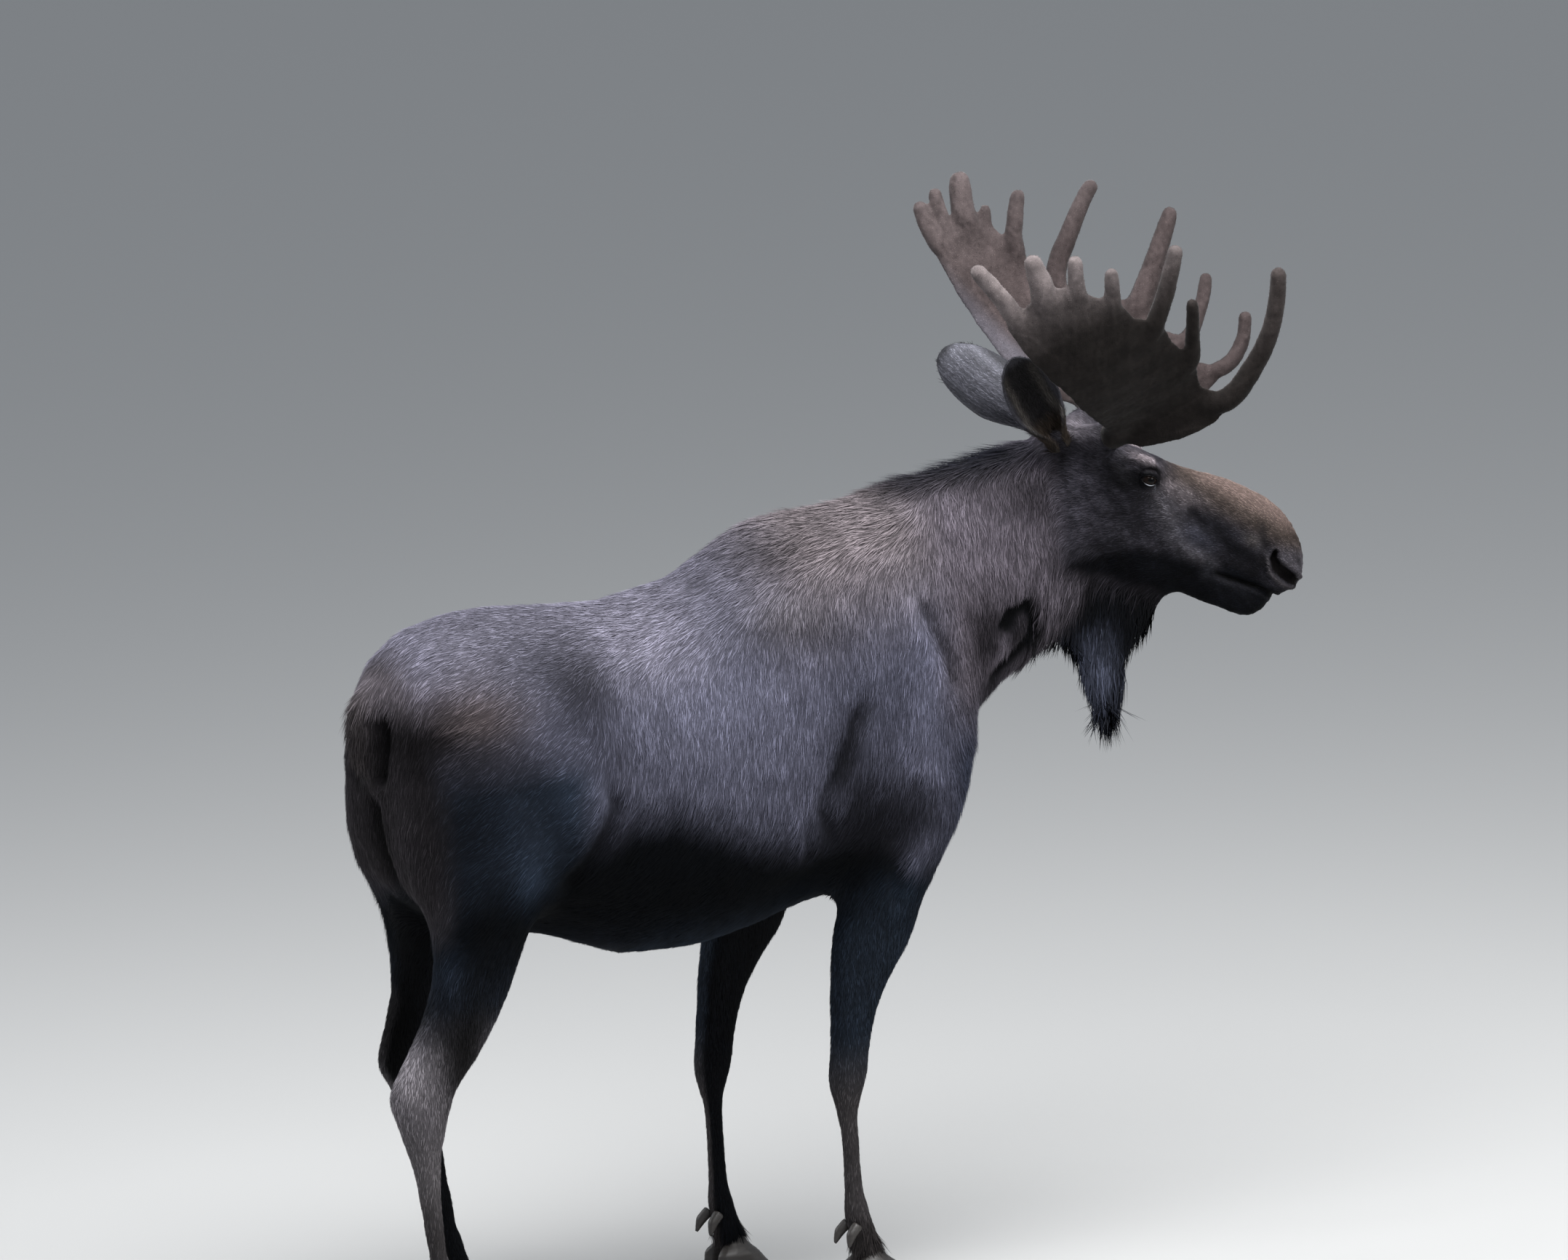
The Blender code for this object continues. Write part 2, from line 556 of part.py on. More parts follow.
def head(collection):
    bm = bmesh.new()
    loft_along_x(bm, SKULL, 60)
    loft_along_x(bm, JAW, 50)
    bell_shape(bm)
    for sign in SIDES.values():
        for (x, y, z), sizes in HEAD_LUMPS.values():
            add_lump(bm, (x, sign * y, z), sizes, HEAD_POSE)
        ends = [side_point(sign, PEDICLE_ROOT), side_point(sign, BURR)]
        ends.append(ends[1] + 0.4 * (ends[1] - ends[0]))
        add_tube(bm, [HEAD_POSE @ p for p in ends], (PEDICLE_RADIUS * 1.2, PEDICLE_RADIUS, PEDICLE_RADIUS))
    made = new_object("head_shape", mesh_from(bm, "head_shape"), collection)
    fuse(made, HEAD_VOXEL, HEAD_SMOOTHING)
    bm = bmesh.new()
    for sign in SIDES.values():
        (x, y, z), sizes = NOSTRIL
        add_lump(bm, (x, sign * y, z), sizes, HEAD_POSE)
    return cut(made, new_object("nostrils", mesh_from(bm, "nostrils"), collection))


def eye(side, collection):
    x, y, z = EYE_CENTRE
    bm = bmesh.new()
    place = HEAD_POSE @ Matrix.Translation((x, SIDES[side] * y, z))
    bmesh.ops.create_icosphere(bm, subdivisions=2, radius=EYE_RADIUS, matrix=place)
    return new_object(side + "_eye", mesh_from(bm, "eye"), collection)


def ear_seat(side):
    """Where an ear stands on the head, and the way it points."""
    return side_point(SIDES[side], EAR_ROOT), Vector(EARS[side][0]).normalized()


def ear(side, helpers, nodes):
    """A cupped leaf: a tube at the root that opens towards the tip, with a solid root."""
    seat, aim = ear_seat(side)
    length, half_width = Vector(EARS[side][0]).length, EARS[side][2]
    face = Vector(EARS[side][1])
    face = (face - face.dot(aim) * aim).normalized()
    across = aim.cross(face)
    along, around = 24, 21
    bm = bmesh.new()
    grid = []
    for i in range(along):
        t = i / (along - 1)
        width = half_width * (0.48 + 0.52 * smooth_step(t / EAR_WIDEST))
        if t > EAR_WIDEST:
            width = half_width * math.sqrt(max(0.0, 1 - ((t - EAR_WIDEST) / 0.525) ** 2.3))
        opening = math.radians(160 - 75 * smooth_step(t / 0.42))  # how far the leaf wraps, each way
        radius = width / math.sin(min(opening, math.pi / 2))
        row = []
        for k in range(around):
            turn = opening * (2 * k / (around - 1) - 1)
            cup = radius * (math.cos(turn) - 0.30) * (1 - 0.35 * t)
            point = seat + aim * (length * t) - face * cup + across * (radius * math.sin(turn))
            row.append(bm.verts.new(HEAD_POSE @ point))
        grid.append(row)
    for a, b in zip(grid, grid[1:]):
        for k in range(around - 1):
            bm.faces.new((a[k], a[k + 1], b[k + 1], b[k]))
    made = new_object(side + "_ear", mesh_from(bm, "ear"), nodes)
    wall = made.modifiers.new("wall", "SOLIDIFY")
    wall.thickness = EAR_WALL
    wall.offset = 0.0
    bake(made)
    bm = bmesh.new()
    bm.from_mesh(made.data)
    add_lump(bm, seat + aim * 0.005, (0.040, 0.036, 0.036), HEAD_POSE)
    made.data = mesh_from(bm, "ear")
    thin_out(fuse(made, EAR_VOXEL, EAR_SMOOTHING), EAR_TRIANGLES)
    base = HEAD_POSE @ (seat + aim * GAP / 2)
    return cut(made, half_space(side + "_ear_base", base, head_vector(*aim), 0.3, helpers))


# ---------------------------------------------------------------- antlers
def smooth_step(t):
    t = min(1.0, max(0.0, t))
    return t * t * (3 - 2 * t)


def antler_point(side, angle, reach, lift=0.0):
    """A point of the antler in the head frame. lift moves it out of the palm's middle surface."""
    angles, shares = zip(*STANDOFF_SHARES)
    share = float(np.interp(angle, angles, shares))
    out = BURR[1] + ANTLER_STANDOFF * share * (1 - math.exp(-reach / ANTLER_SETTLING)) + lift
    turn = math.radians(angle)
    return Vector((BURR[0] + reach * math.cos(turn), SIDES[side] * out, BURR[2] + reach * math.sin(turn)))


def add_tine(bm, side, root, middle, tip, thick, thin):
    """A round-ended tine that swells out of the palm."""
    start = (root[0], root[1] - 0.075)
    path = smooth_rows([0.0, 0.3, 0.65, 1.0], [start, root, middle, tip], np.linspace(0, 1, 15))
    points, radii = [], []
    for i, (angle, reach) in enumerate(path):
        t = i / (len(path) - 1)
        points.append(antler_point(side, angle, reach))
        swell = PALM_HALF_THICKNESS[1] + (thick - PALM_HALF_THICKNESS[1]) * smooth_step(t / 0.34)
        radii.append(swell if t < 0.34 else thick + (thin - thick) * (t - 0.34) / 0.66)
    ahead = (points[-1] - points[-2]).normalized()
    for step, share in ((0.35, 0.93), (0.70, 0.71), (0.93, 0.36)):
        points.append(points[len(path) - 1] + ahead * thin * step)
        radii.append(thin * share)
    add_tube(bm, [HEAD_POSE @ p for p in points], radii)


def add_palm(bm, side):
    """The sheet of the palm, as a closed shell."""
    rim = np.array(PALM_RIM[side])
    angles = np.linspace(rim[0, 0], rim[-1, 0], 96)
    reaches = smooth_rows(rim[:, 0], rim[:, 1:], angles)[:, 0]
    rows = 10
    corner = {}
    for shift in (-1, 1):
        for i, (angle, reach) in enumerate(zip(angles, reaches)):
            for j in range(rows):
                t = j / (rows - 1)
                thick = PALM_HALF_THICKNESS[0] + (PALM_HALF_THICKNESS[1] - PALM_HALF_THICKNESS[0]) * t
                point = antler_point(side, angle, 0.02 + (reach - 0.02) * t, shift * thick)
                corner[shift, i, j] = bm.verts.new(HEAD_POSE @ point)
    last = len(angles) - 1
    for shift in (-1, 1):
        for i in range(last):
            for j in range(rows - 1):
                bm.faces.new([corner[shift, i + a, j + b] for a, b in ((0, 0), (1, 0), (1, 1), (0, 1))])
    edge = [(i, 0) for i in range(last + 1)] + [(last, j) for j in range(1, rows)]
    edge += [(i, rows - 1) for i in range(last - 1, -1, -1)] + [(0, j) for j in range(rows - 2, 0, -1)]
    for (i, j), (k, m) in zip(edge, edge[1:] + edge[:1]):
        bm.faces.new((corner[-1, i, j], corner[-1, k, m], corner[1, k, m], corner[1, i, j]))


def burr_axis(side):
    root, burr = side_point(SIDES[side], PEDICLE_ROOT), side_point(SIDES[side], BURR)
    return burr, (burr - root).normalized()


def half_space(name, centre, normal, size, collection):
    """A block that fills the side the normal points away from, ending at the centre."""
    bm = bmesh.new()
    turn = Vector(normal).to_track_quat("Z", "Y").to_matrix().to_4x4()
    depth = Matrix.Translation((0, 0, -size / 2))
    bmesh.ops.create_cube(bm, size=size, matrix=Matrix.Translation(centre) @ turn @ depth)
    return new_object(name, mesh_from(bm, name), collection)


def collar(side, collection):
    """A thin-walled tube that parts the beam from the palm."""
    bm = bmesh.new()
    rings = []
    for radius in (BEAM_REACH - GAP / 2, BEAM_REACH + GAP / 2):
        for out in (0.05, 0.60):
            ring = []
            for turn in np.linspace(0, 2 * math.pi, 24, endpoint=False):
                point = (BURR[0] + radius * math.cos(turn), out, BURR[2] + radius * math.sin(turn))
                ring.append(bm.verts.new(HEAD_POSE @ side_point(SIDES[side], point)))
            rings.append(ring)
    inner_near, inner_far, outer_near, outer_far = rings
    for a, b in (
        (inner_near, inner_far), (inner_far, outer_far), (outer_far, outer_near), (outer_near, inner_near)
    ):
        for k in range(24):
            bm.faces.new((a[k], a[(k + 1) % 24], b[(k + 1) % 24], b[k]))
    return new_object(side + "_collar", mesh_from(bm, "collar"), collection)


def antler(side, helpers, nodes):
    bm = bmesh.new()
    for tine in TINES[side].values():
        add_tine(bm, side, *tine)
    add_palm(bm, side)
    burr, axis = burr_axis(side)
    beam = [burr - axis * 0.03, burr]
    beam += [antler_point(side, angle, reach) for angle, reach in ((118, 0.03), (116, 0.08), (114, 0.14))]
    radii = [PEDICLE_RADIUS * share for share in (0.95, 0.95, 0.95, 0.85, 0.5)]
    add_tube(bm, [HEAD_POSE @ p for p in beam], radii)
    made = new_object(side + "_antler", mesh_from(bm, "antler"), helpers)
    thin_out(fuse(made, ANTLER_VOXEL, ANTLER_SMOOTHING), ANTLER_TRIANGLES)
    base = HEAD_POSE @ (burr + axis * GAP / 2)
    cut(made, half_space(side + "_burr", base, head_vector(*axis), 0.4, helpers))
    cut(made, collar(side, helpers))
    turn = math.radians(FORK_ANGLE[side])
    ray = Vector((math.cos(turn), 0, math.sin(turn)))
    middle = side_point(SIDES[side], (BURR[0], 0.35, BURR[2]))
    start = middle + ray * BEAM_REACH * 0.99
    end = middle + ray * FORK_REACH
    frame = HEAD_POSE @ Matrix.Translation((start + end) / 2)
    cut(made, plate(frame, ray, Vector((0, 1, 0)), (end - start).length, 0.6, helpers))
    brow_angle = FORK_ANGLE[side] - 25
    anchors = {
        f"{side}_antler_beam": HEAD_POSE @ (burr + axis * 0.03),
        f"{side}_antler_palm": HEAD_POSE @ antler_point(side, 140, 0.3),
        f"{side}_antler_brow": HEAD_POSE @ antler_point(side, brow_angle, 0.25),
    }
    return part_by_islands(made, anchors, nodes)


# ---------------------------------------------------------------- feet
def foot_middle(limb, side):
    table = FORELEG if limb == "fore" else HINDLEG
    return table[-1][1] + stride(limb, side, 0.0), SIDES[side] * table[-1][4]


def claw(limb, side, part, collection):
    """One of the two claws of a hoof: pointed in front, flat below and inside."""
    x, y = foot_middle(limb, side)
    outward = 1 if part == "outer" else -1
    middle = y + SIDES[side] * outward * CLAW_SPACING
    bm = bmesh.new()
    rings = []
    for z, front, back, width in (
        (0.0, 0.092, -0.058, 1.0),
        (0.012, 0.088, -0.060, 1.03),
        (0.045, 0.060, -0.056, 1.0),
        (HOOF_HEIGHT, 0.026, -0.044, 0.80),
    ):
        ring = []
        for k in range(CLAW_RING):
            turn = 2 * math.pi * k / CLAW_RING
            along, across = math.cos(turn), math.sin(turn)
            point = 1 - 0.42 * max(0.0, along) ** 3
            inner = 0.82 if across * outward < 0 else 1.0
            ring.append((
                x + (front + back) / 2 + (front - back) / 2 * along,
                middle + SIDES[side] * HOOF_HALF_WIDTH * width * across * point * inner,
                z,
            ))
        rings.append(ring)
    skin_rings(bm, rings)
    return new_object(f"{side}_{limb}_hoof_{part}", mesh_from(bm, "claw"), collection)


def dewclaw(limb, side, part, collection):
    x, y = foot_middle(limb, side)
    outward = 1 if part == "outer" else -1
    root = Vector((x - 0.040, y + SIDES[side] * outward * 0.022, DEWCLAW_HEIGHT))
    tip = root + Vector((-0.034, SIDES[side] * outward * 0.010, -0.050))
    middle = (root + tip) / 2 + Vector((-0.006, 0, 0.004))
    bm = bmesh.new()
    add_tube(bm, (root, middle, tip), (0.015, 0.0135, 0.005), sides=8)
    return new_object(f"{side}_{limb}_dewclaw_{part}", mesh_from(bm, "dewclaw"), collection)


# ---------------------------------------------------------------- parting the flesh
def head_vector(x, y, z):
    return HEAD_POSE.to_3x3() @ Vector((x, y, z))


def plate(frame, along, across, length, width, collection):
    """A thin plate in the frame, that parts what it crosses."""
    bm = bmesh.new()
    turn = Matrix(((*along, 0), (*across, 0), (*along.cross(across), 0), (0, 0, 0, 1))).transposed()
    bmesh.ops.create_cube(bm, size=1.0, matrix=frame @ turn @ Matrix.Diagonal((length, width, GAP, 1.0)))
    return new_object("plate", mesh_from(bm, "plate"), collection)


def side_cut(obj, frame, ends, width, collection):
    """Parts the object by a plate seen edge on from the side, between two (x, z) points."""
    start, end = (Vector((x, 0, z)) for x, z in ends)
    frame = frame @ Matrix.Translation((start + end) / 2)
    along = (end - start).normalized()
    cut(obj, plate(frame, along, Vector((0, 1, 0)), (end - start).length, width, collection))


def leg_middle(limb, side, z):
    table = np.array(sorted(FORELEG if limb == "fore" else HINDLEG))
    x, depth, width, out = smooth_rows(table[:, 0], table[:, 1:], [z])[0]
    return Vector((x + stride(limb, side, z), SIDES[side] * out, z)), depth, width


def part_flesh(obj, collection):
    for side in SIDES:
        for limb, heights in LEG_CUTS.items():
            for z in heights:
                centre, depth, width = leg_middle(limb, side, z)
                frame = Matrix.Translation(centre)
                size = (2.6 * depth, 2.2 * width + 0.04)
                cut(obj, plate(frame, Vector((1, 0, 0)), Vector((0, 1, 0)), *size, collection))
    side_cut(obj, Matrix.Identity(4), SHOULDER_CUT, 0.8, collection)
    side_cut(obj, HEAD_POSE, HEAD_CUT, 0.8, collection)
    side_cut(obj, HEAD_POSE, BELL_CUT, 0.4, collection)


def flesh_anchors():
    """A point inside each part of the flesh."""
    anchors = {
        "trunk": Vector((0.05, 0, 1.30)),
        "neck": Vector((0.92, -0.05, 1.62)),
        "head": HEAD_POSE @ Vector((0.33, 0, -0.06)),
        "bell": HEAD_POSE @ Vector((0.38, 0, -0.34)),
    }
    for side in SIDES:
        for limb, heights in LEG_CUTS.items():
            for part, top, bottom in zip(LEG_PARTS, heights, (*heights[1:], HOOF_HEIGHT)):
                anchors[f"{side}_{limb}_{part}"] = leg_middle(limb, side, (top + bottom) / 2)[0]
    return anchors


def part_by_islands(obj, anchors, collection):
    """Makes a named object of each separate piece, by the anchor nearest to its middle, and drops crumbs."""
    bm = bmesh.new()
    bm.from_mesh(obj.data)
    unseen = set(bm.verts)
    pieces = []
    while unseen:
        found, edge = set(), [unseen.pop()]
        while edge:
            vertex = edge.pop()
            found.add(vertex)
            for link in vertex.link_edges:
                other = link.other_vert(vertex)
                if other in unseen:
                    unseen.discard(other)
                    edge.append(other)
        pieces.append(found)
    made = {}
    for piece in sorted(pieces, key=len, reverse=True)[:len(anchors)]:
        low = Vector([min(v.co[k] for v in piece) for k in range(3)])
        high = Vector([max(v.co[k] for v in piece) for k in range(3)])
        free = [name for name in anchors if name not in made]
        name = min(free, key=lambda n: (anchors[n] - (low + high) / 2).length)
        part = bmesh.new()
        copies = {v: part.verts.new(v.co) for v in piece}
        for face in {f for v in piece for f in v.link_faces}:
            part.faces.new([copies[v] for v in face.verts])
        made[name] = new_object(name, mesh_from(part, name), collection)
    bm.free()
    bpy.data.objects.remove(obj)
    return made


def room(name, solids, collection):
    """One cutter a hair larger than the solids."""
    bm = bmesh.new()
    for solid in solids:
        part = bmesh.new()
        part.from_mesh(solid.data)
        part.normal_update()
        for vertex, move in [(v, v.normal * GAP * v.calc_shell_factor()) for v in part.verts]:
            vertex.co += 1.5 * move
        swollen = bpy.data.meshes.new(name)
        part.to_mesh(swollen)
        part.free()
        bm.from_mesh(swollen)
    return new_object(name, mesh_from(bm, name), collection)


def flesh_coarseness(point):
    """Small faces on the face, middling ones on the legs, large ones on the trunk."""
    forward = (HEAD_POSE.inverted() @ point).x
    face = smooth_step((forward + 0.10) / 0.15)
    leg = 1.0 - smooth_step((point.z - 0.75) / 0.25)
    return 1.0 - 0.45 * face - 0.50 * leg


def flesh(solids, helpers, nodes):
    whole = bmesh.new()
    whole.from_mesh(body(helpers).data)
    whole.from_mesh(head(helpers).data)
    made = fuse(new_object("flesh", mesh_from(whole, "flesh"), helpers), JOIN_VOXEL, JOIN_SMOOTHING)
    thin_out(made, FLESH_TRIANGLES, flesh_coarseness)
    cut(made, half_space("sole", (0, 0, HOOF_HEIGHT + GAP), (0, 0, 1), 6.0, helpers))
    for side in SIDES:
        burr, axis = burr_axis(side)
        for name, centre, out, size in (
            ("burr_top", burr - axis * GAP / 2, axis, 0.12),
            ("ear_top", ear_seat(side)[0] - ear_seat(side)[1] * GAP / 2, ear_seat(side)[1], 0.12),
        ):
            block = half_space(f"{side}_{name}", HEAD_POSE @ centre, head_vector(*(-out)), size, helpers)
            cut(made, block)
    cut(made, room("room", solids, helpers))
    part_flesh(made, helpers)
    return part_by_islands(made, flesh_anchors(), nodes)


def dress(obj):
    """Gives a node the material of the first line below that has a word of its name."""
    for words, slot in (
        (("eye",), "eye"),
        (("hoof", "dewclaw"), "horn"),
        (("antler",), "velvet"),
        (("head", "ear"), "face_hair"),
        (("lower_leg", "pastern"), "leg_hair"),
        (("",), "body_hair"),
    ):
        if any(word in obj.name for word in words):
            obj.data.materials.clear()
            obj.data.materials.append(material(slot))
            return


def main():
    for obj in list(bpy.data.objects):
        bpy.data.objects.remove(obj)
    scene = bpy.context.scene.collection
    nodes = bpy.data.collections.new("moose")
    helpers = bpy.data.collections.new("helpers")
    for collection in (nodes, helpers):
        scene.children.link(collection)
    let_in = [tail(nodes)]
    for side in SIDES:
        let_in.append(eye(side, nodes))
        ear(side, helpers, nodes)
        antler(side, helpers, nodes)
        for limb in ("fore", "hind"):
            for part in ("inner", "outer"):
                claw(limb, side, part, nodes)
                let_in.append(dewclaw(limb, side, part, nodes))
    flesh(let_in, helpers, nodes)
    lows = [min(v.co[k] for o in nodes.objects for v in o.data.vertices) for k in range(3)]
    highs = [max(v.co[k] for o in nodes.objects for v in o.data.vertices) for k in range(3)]
    origin = Matrix.Translation((-(lows[0] + highs[0]) / 2, -(lows[1] + highs[1]) / 2, -lows[2]))
    for obj in nodes.objects:
        obj.data.transform(origin)
        dress(obj)
    for helper in helpers.objects:
        helper.hide_render = True
        helper.display_type = "WIRE"


main()
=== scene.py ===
"""The looks of a bull moose in velvet: one skin over the solids of flesh, and its coat as meshes of tufts.

Metres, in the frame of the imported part: +Z up, +X towards the head, +Y to the animal's left.
"""

import math
from functools import partial

import bmesh
import bpy
import numpy as np
from mathutils import Matrix, Vector


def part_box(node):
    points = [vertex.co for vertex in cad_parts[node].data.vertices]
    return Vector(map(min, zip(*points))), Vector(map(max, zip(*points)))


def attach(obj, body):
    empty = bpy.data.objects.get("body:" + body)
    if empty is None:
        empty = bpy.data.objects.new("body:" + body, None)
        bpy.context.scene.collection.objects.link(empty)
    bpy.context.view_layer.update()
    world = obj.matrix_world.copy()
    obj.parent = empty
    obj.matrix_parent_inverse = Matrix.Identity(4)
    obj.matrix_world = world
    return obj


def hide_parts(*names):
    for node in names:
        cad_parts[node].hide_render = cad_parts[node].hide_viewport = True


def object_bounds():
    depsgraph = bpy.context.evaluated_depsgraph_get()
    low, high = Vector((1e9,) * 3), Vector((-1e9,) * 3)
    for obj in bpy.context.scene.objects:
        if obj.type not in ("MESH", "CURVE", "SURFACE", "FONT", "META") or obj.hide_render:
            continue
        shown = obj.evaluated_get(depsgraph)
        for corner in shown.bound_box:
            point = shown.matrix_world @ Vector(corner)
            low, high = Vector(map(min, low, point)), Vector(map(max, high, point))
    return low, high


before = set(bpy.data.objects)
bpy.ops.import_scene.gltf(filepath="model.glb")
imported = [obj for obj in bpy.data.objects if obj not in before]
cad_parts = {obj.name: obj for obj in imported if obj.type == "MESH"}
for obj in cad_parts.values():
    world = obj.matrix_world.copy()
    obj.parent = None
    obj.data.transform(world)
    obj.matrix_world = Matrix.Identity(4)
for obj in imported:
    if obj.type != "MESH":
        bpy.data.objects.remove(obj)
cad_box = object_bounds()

# ---------------------------------------------------------------- places, from the frame
SIDES = {"right": -1.0, "left": 1.0}
LIMBS = ("fore", "hind")
FLESH = ["trunk", "neck", "head", "bell", "tail"]
FLESH += [f"{s}_{limb}_{part}" for s in SIDES for limb in LIMBS
          for part in ("upper_leg", "lower_leg", "pastern")]
HORN = [f"{s}_{limb}_{kind}_{at}" for s in SIDES for limb in LIMBS for kind in ("hoof", "dewclaw")
        for at in ("inner", "outer")]


def centre_of(node):
    low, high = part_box(node)
    return (Vector(low) + Vector(high)) / 2


# The head has its own frame: origin at the poll, X to the nose, Y left, Z up out of the forehead.
EYE_IN_HEAD = np.array((0.247, 0.095, 0.014))
EYE_RADIUS = 0.0205
EAR_ROOT = (0.003, 0.098, -0.003)
HEAD_TURN = Matrix.Rotation(math.radians(-21.8), 3, "Z") @ Matrix.Rotation(math.radians(32.5), 3, "Y")
EYES_BETWEEN = (centre_of("right_eye") + centre_of("left_eye")) / 2
POLL = EYES_BETWEEN - HEAD_TURN @ Vector((EYE_IN_HEAD[0], 0, EYE_IN_HEAD[2]))
HEAD_POSE = Matrix.Translation(POLL) @ HEAD_TURN.to_4x4()
TURN = np.array(HEAD_TURN)
POLL_POINT = np.array(POLL)
MIDLINE = centre_of("trunk").y


def to_head(points):
    return (points - POLL_POINT) @ TURN


def from_head(points):
    return np.asarray(points) @ TURN.T + POLL_POINT


# ---------------------------------------------------------------- numbers on many points at once
def ramp(values, start, end):
    """0 at start, 1 at end, smooth between. start may be the larger."""
    t = np.clip((values - start) / (end - start), 0, 1)
    return t * t * (3 - 2 * t)


def mix(a, b, share):
    share = np.asarray(share)
    if np.ndim(a) > share.ndim or np.ndim(b) > share.ndim:
        share = share[..., None]
    return np.asarray(a) * (1 - share) + np.asarray(b) * share


def layered(values, layers):
    """The values with others laid over them one after the other, each by its share."""
    for over, share in layers:
        values = mix(values, over, share)
    return values


def metres(sizes):
    """Nested tuples of millimetres, in metres."""
    return tuple(metres(size) for size in sizes) if isinstance(sizes, tuple) else sizes / 1000


def unit(vectors):
    return vectors / np.maximum(np.linalg.norm(vectors, axis=-1, keepdims=True), 1e-9)


def waves(points, size, seed, count=7):
    """Smooth noise from about -1 to 1, with features of this size in metres."""
    rng = np.random.default_rng(seed)
    total = np.zeros(len(points))
    for _ in range(count):
        heading = unit(rng.normal(size=3)) * (2 * math.pi / size) * rng.uniform(0.6, 1.5)
        total += np.sin(points @ heading + rng.uniform(0, 2 * math.pi))
    return total / math.sqrt(count / 2) * 0.6


def bump(distance, width, power=2):
    """1 where the distance is nothing, fading to 0 at about twice this width."""
    return np.exp(-((distance / width) ** power))


def near(points, centre, sizes):
    """1 at the centre, fading to 0 round it over these half-sizes."""
    reach = (points - np.array(centre)) / np.array(sizes)
    return np.exp(-(reach**2).sum(-1))


def along_path(points, path):
    """Distance from each point to the path, and how far along it (0 to 1) the nearest place lies."""
    path = np.asarray(path, float)
    lengths = np.linalg.norm(np.diff(path, axis=0), axis=1)
    starts = np.concatenate([[0], np.cumsum(lengths)])
    best = np.full(len(points), np.inf)
    place = np.zeros(len(points))
    for i, (a, b) in enumerate(zip(path, path[1:])):
        t = np.clip((points - a) @ (b - a) / (lengths[i] ** 2), 0, 1)
        gap = np.linalg.norm(points - (a + t[:, None] * (b - a)), axis=1)
        closer = gap < best
        best[closer] = gap[closer]
        place[closer] = (starts[i] + t * lengths[i])[closer]
    return best, place / starts[-1]


def ridge(points, path, width, start=0.2, end=0.8):
    """1 along the path, fading to 0 beside it and, before start and after end, towards its ends."""
    gap, place = along_path(points, path)
    return bump(gap, width) * ramp(place, 0, start) * ramp(place, 1, end)


def smooth_rows(keys, rows, at):
    """Rows of numbers given at rising keys, read at other places along a curve that doesn't overshoot."""
    keys, rows, at = np.asarray(keys, float), np.asarray(rows, float), np.asarray(at, float)
    steps = np.diff(keys)[:, None]
    slopes = np.diff(rows, axis=0) / steps
    tangents = np.zeros_like(rows)
    tangents[0], tangents[-1] = slopes[0], slopes[-1]
    before, after = slopes[:-1], slopes[1:]
    same = before * after > 0
    weight_a, weight_b = 2 * steps[1:] + steps[:-1], steps[1:] + 2 * steps[:-1]
    parts = weight_a / np.where(same, before, 1) + weight_b / np.where(same, after, 1)
    tangents[1:-1] = np.where(same, (weight_a + weight_b) / parts, 0)
    i = np.clip(np.searchsorted(keys, at, side="right") - 1, 0, len(keys) - 2)
    h = (keys[i + 1] - keys[i])[:, None]
    t = (at - keys[i])[:, None] / h
    return (
        (1 + 2 * t) * (1 - t) ** 2 * rows[i]
        + t * (1 - t) ** 2 * h * tangents[i]
        + t * t * (3 - 2 * t) * rows[i + 1]
        + t * t * (t - 1) * h * tangents[i + 1]
    )


# ---------------------------------------------------------------- meshes
def read(items, name, width, kind=float):
    """One value of every item, as the rows of an array."""
    values = np.empty(len(items) * width, kind)
    items.foreach_get(name, values)
    return values.reshape(-1, width)


def gathered(index, vectors, count):
    """The sum of the vectors that belong to each index."""
    return np.stack([np.bincount(index, vectors[:, axis], count) for axis in range(3)], 1)


class Surface:
    """Points and faces as arrays, with what is worked out from them."""

    def __init__(self, mesh):
        mesh.calc_loop_triangles()
        self.points = read(mesh.vertices, "co", 3)
        self.triangles = read(mesh.loop_triangles, "vertices", 3, int)
        self.edges = read(mesh.edges, "vertices", 2, int)

    def face_vectors(self):
        a, b, c = (self.points[self.triangles[:, k]] for k in range(3))
        return np.cross(b - a, c - a)

    def normals(self):
        faces = self.face_vectors()
        return unit(sum(gathered(self.triangles[:, k], faces, len(self.points)) for k in range(3)))

    def soften(self, share, times):
        """Moves each point towards the middle of its neighbours, by a share of the way each time."""
        first, second = self.edges.T
        count = len(self.points)
        neighbours = np.bincount(self.edges.ravel(), minlength=count)[:, None]
        for _ in range(times):
            total = gathered(first, self.points[second], count) + gathered(second, self.points[first], count)
            self.points += (total / neighbours - self.points) * np.reshape(share, (-1, 1))

    def push(self, amount):
        self.points += self.normals() * np.reshape(amount, (-1, 1))

    def store(self, mesh):
        mesh.vertices.foreach_set("co", self.points.ravel())
        mesh.update()


def put(name, mesh):
    obj = bpy.data.objects.new(name, mesh)
    bpy.context.scene.collection.objects.link(obj)
    return obj


def finished(bm, name):
    mesh = bpy.data.meshes.new(name)
    bm.to_mesh(mesh)
    bm.free()
    return mesh


def evaluated(obj):
    graph = bpy.context.evaluated_depsgraph_get()
    mesh = bpy.data.meshes.new_from_object(obj.evaluated_get(graph))
    bpy.data.objects.remove(obj)
    return mesh


def fused(bm, voxel):
    """One closed surface round all the closed shapes in the bmesh."""
    bmesh.ops.recalc_face_normals(bm, faces=bm.faces)
    obj = put("fused", finished(bm, "fused"))
    remesh = obj.modifiers.new("fuse", "REMESH")
    remesh.mode = "VOXEL"
    remesh.voxel_size = voxel
    return evaluated(obj)


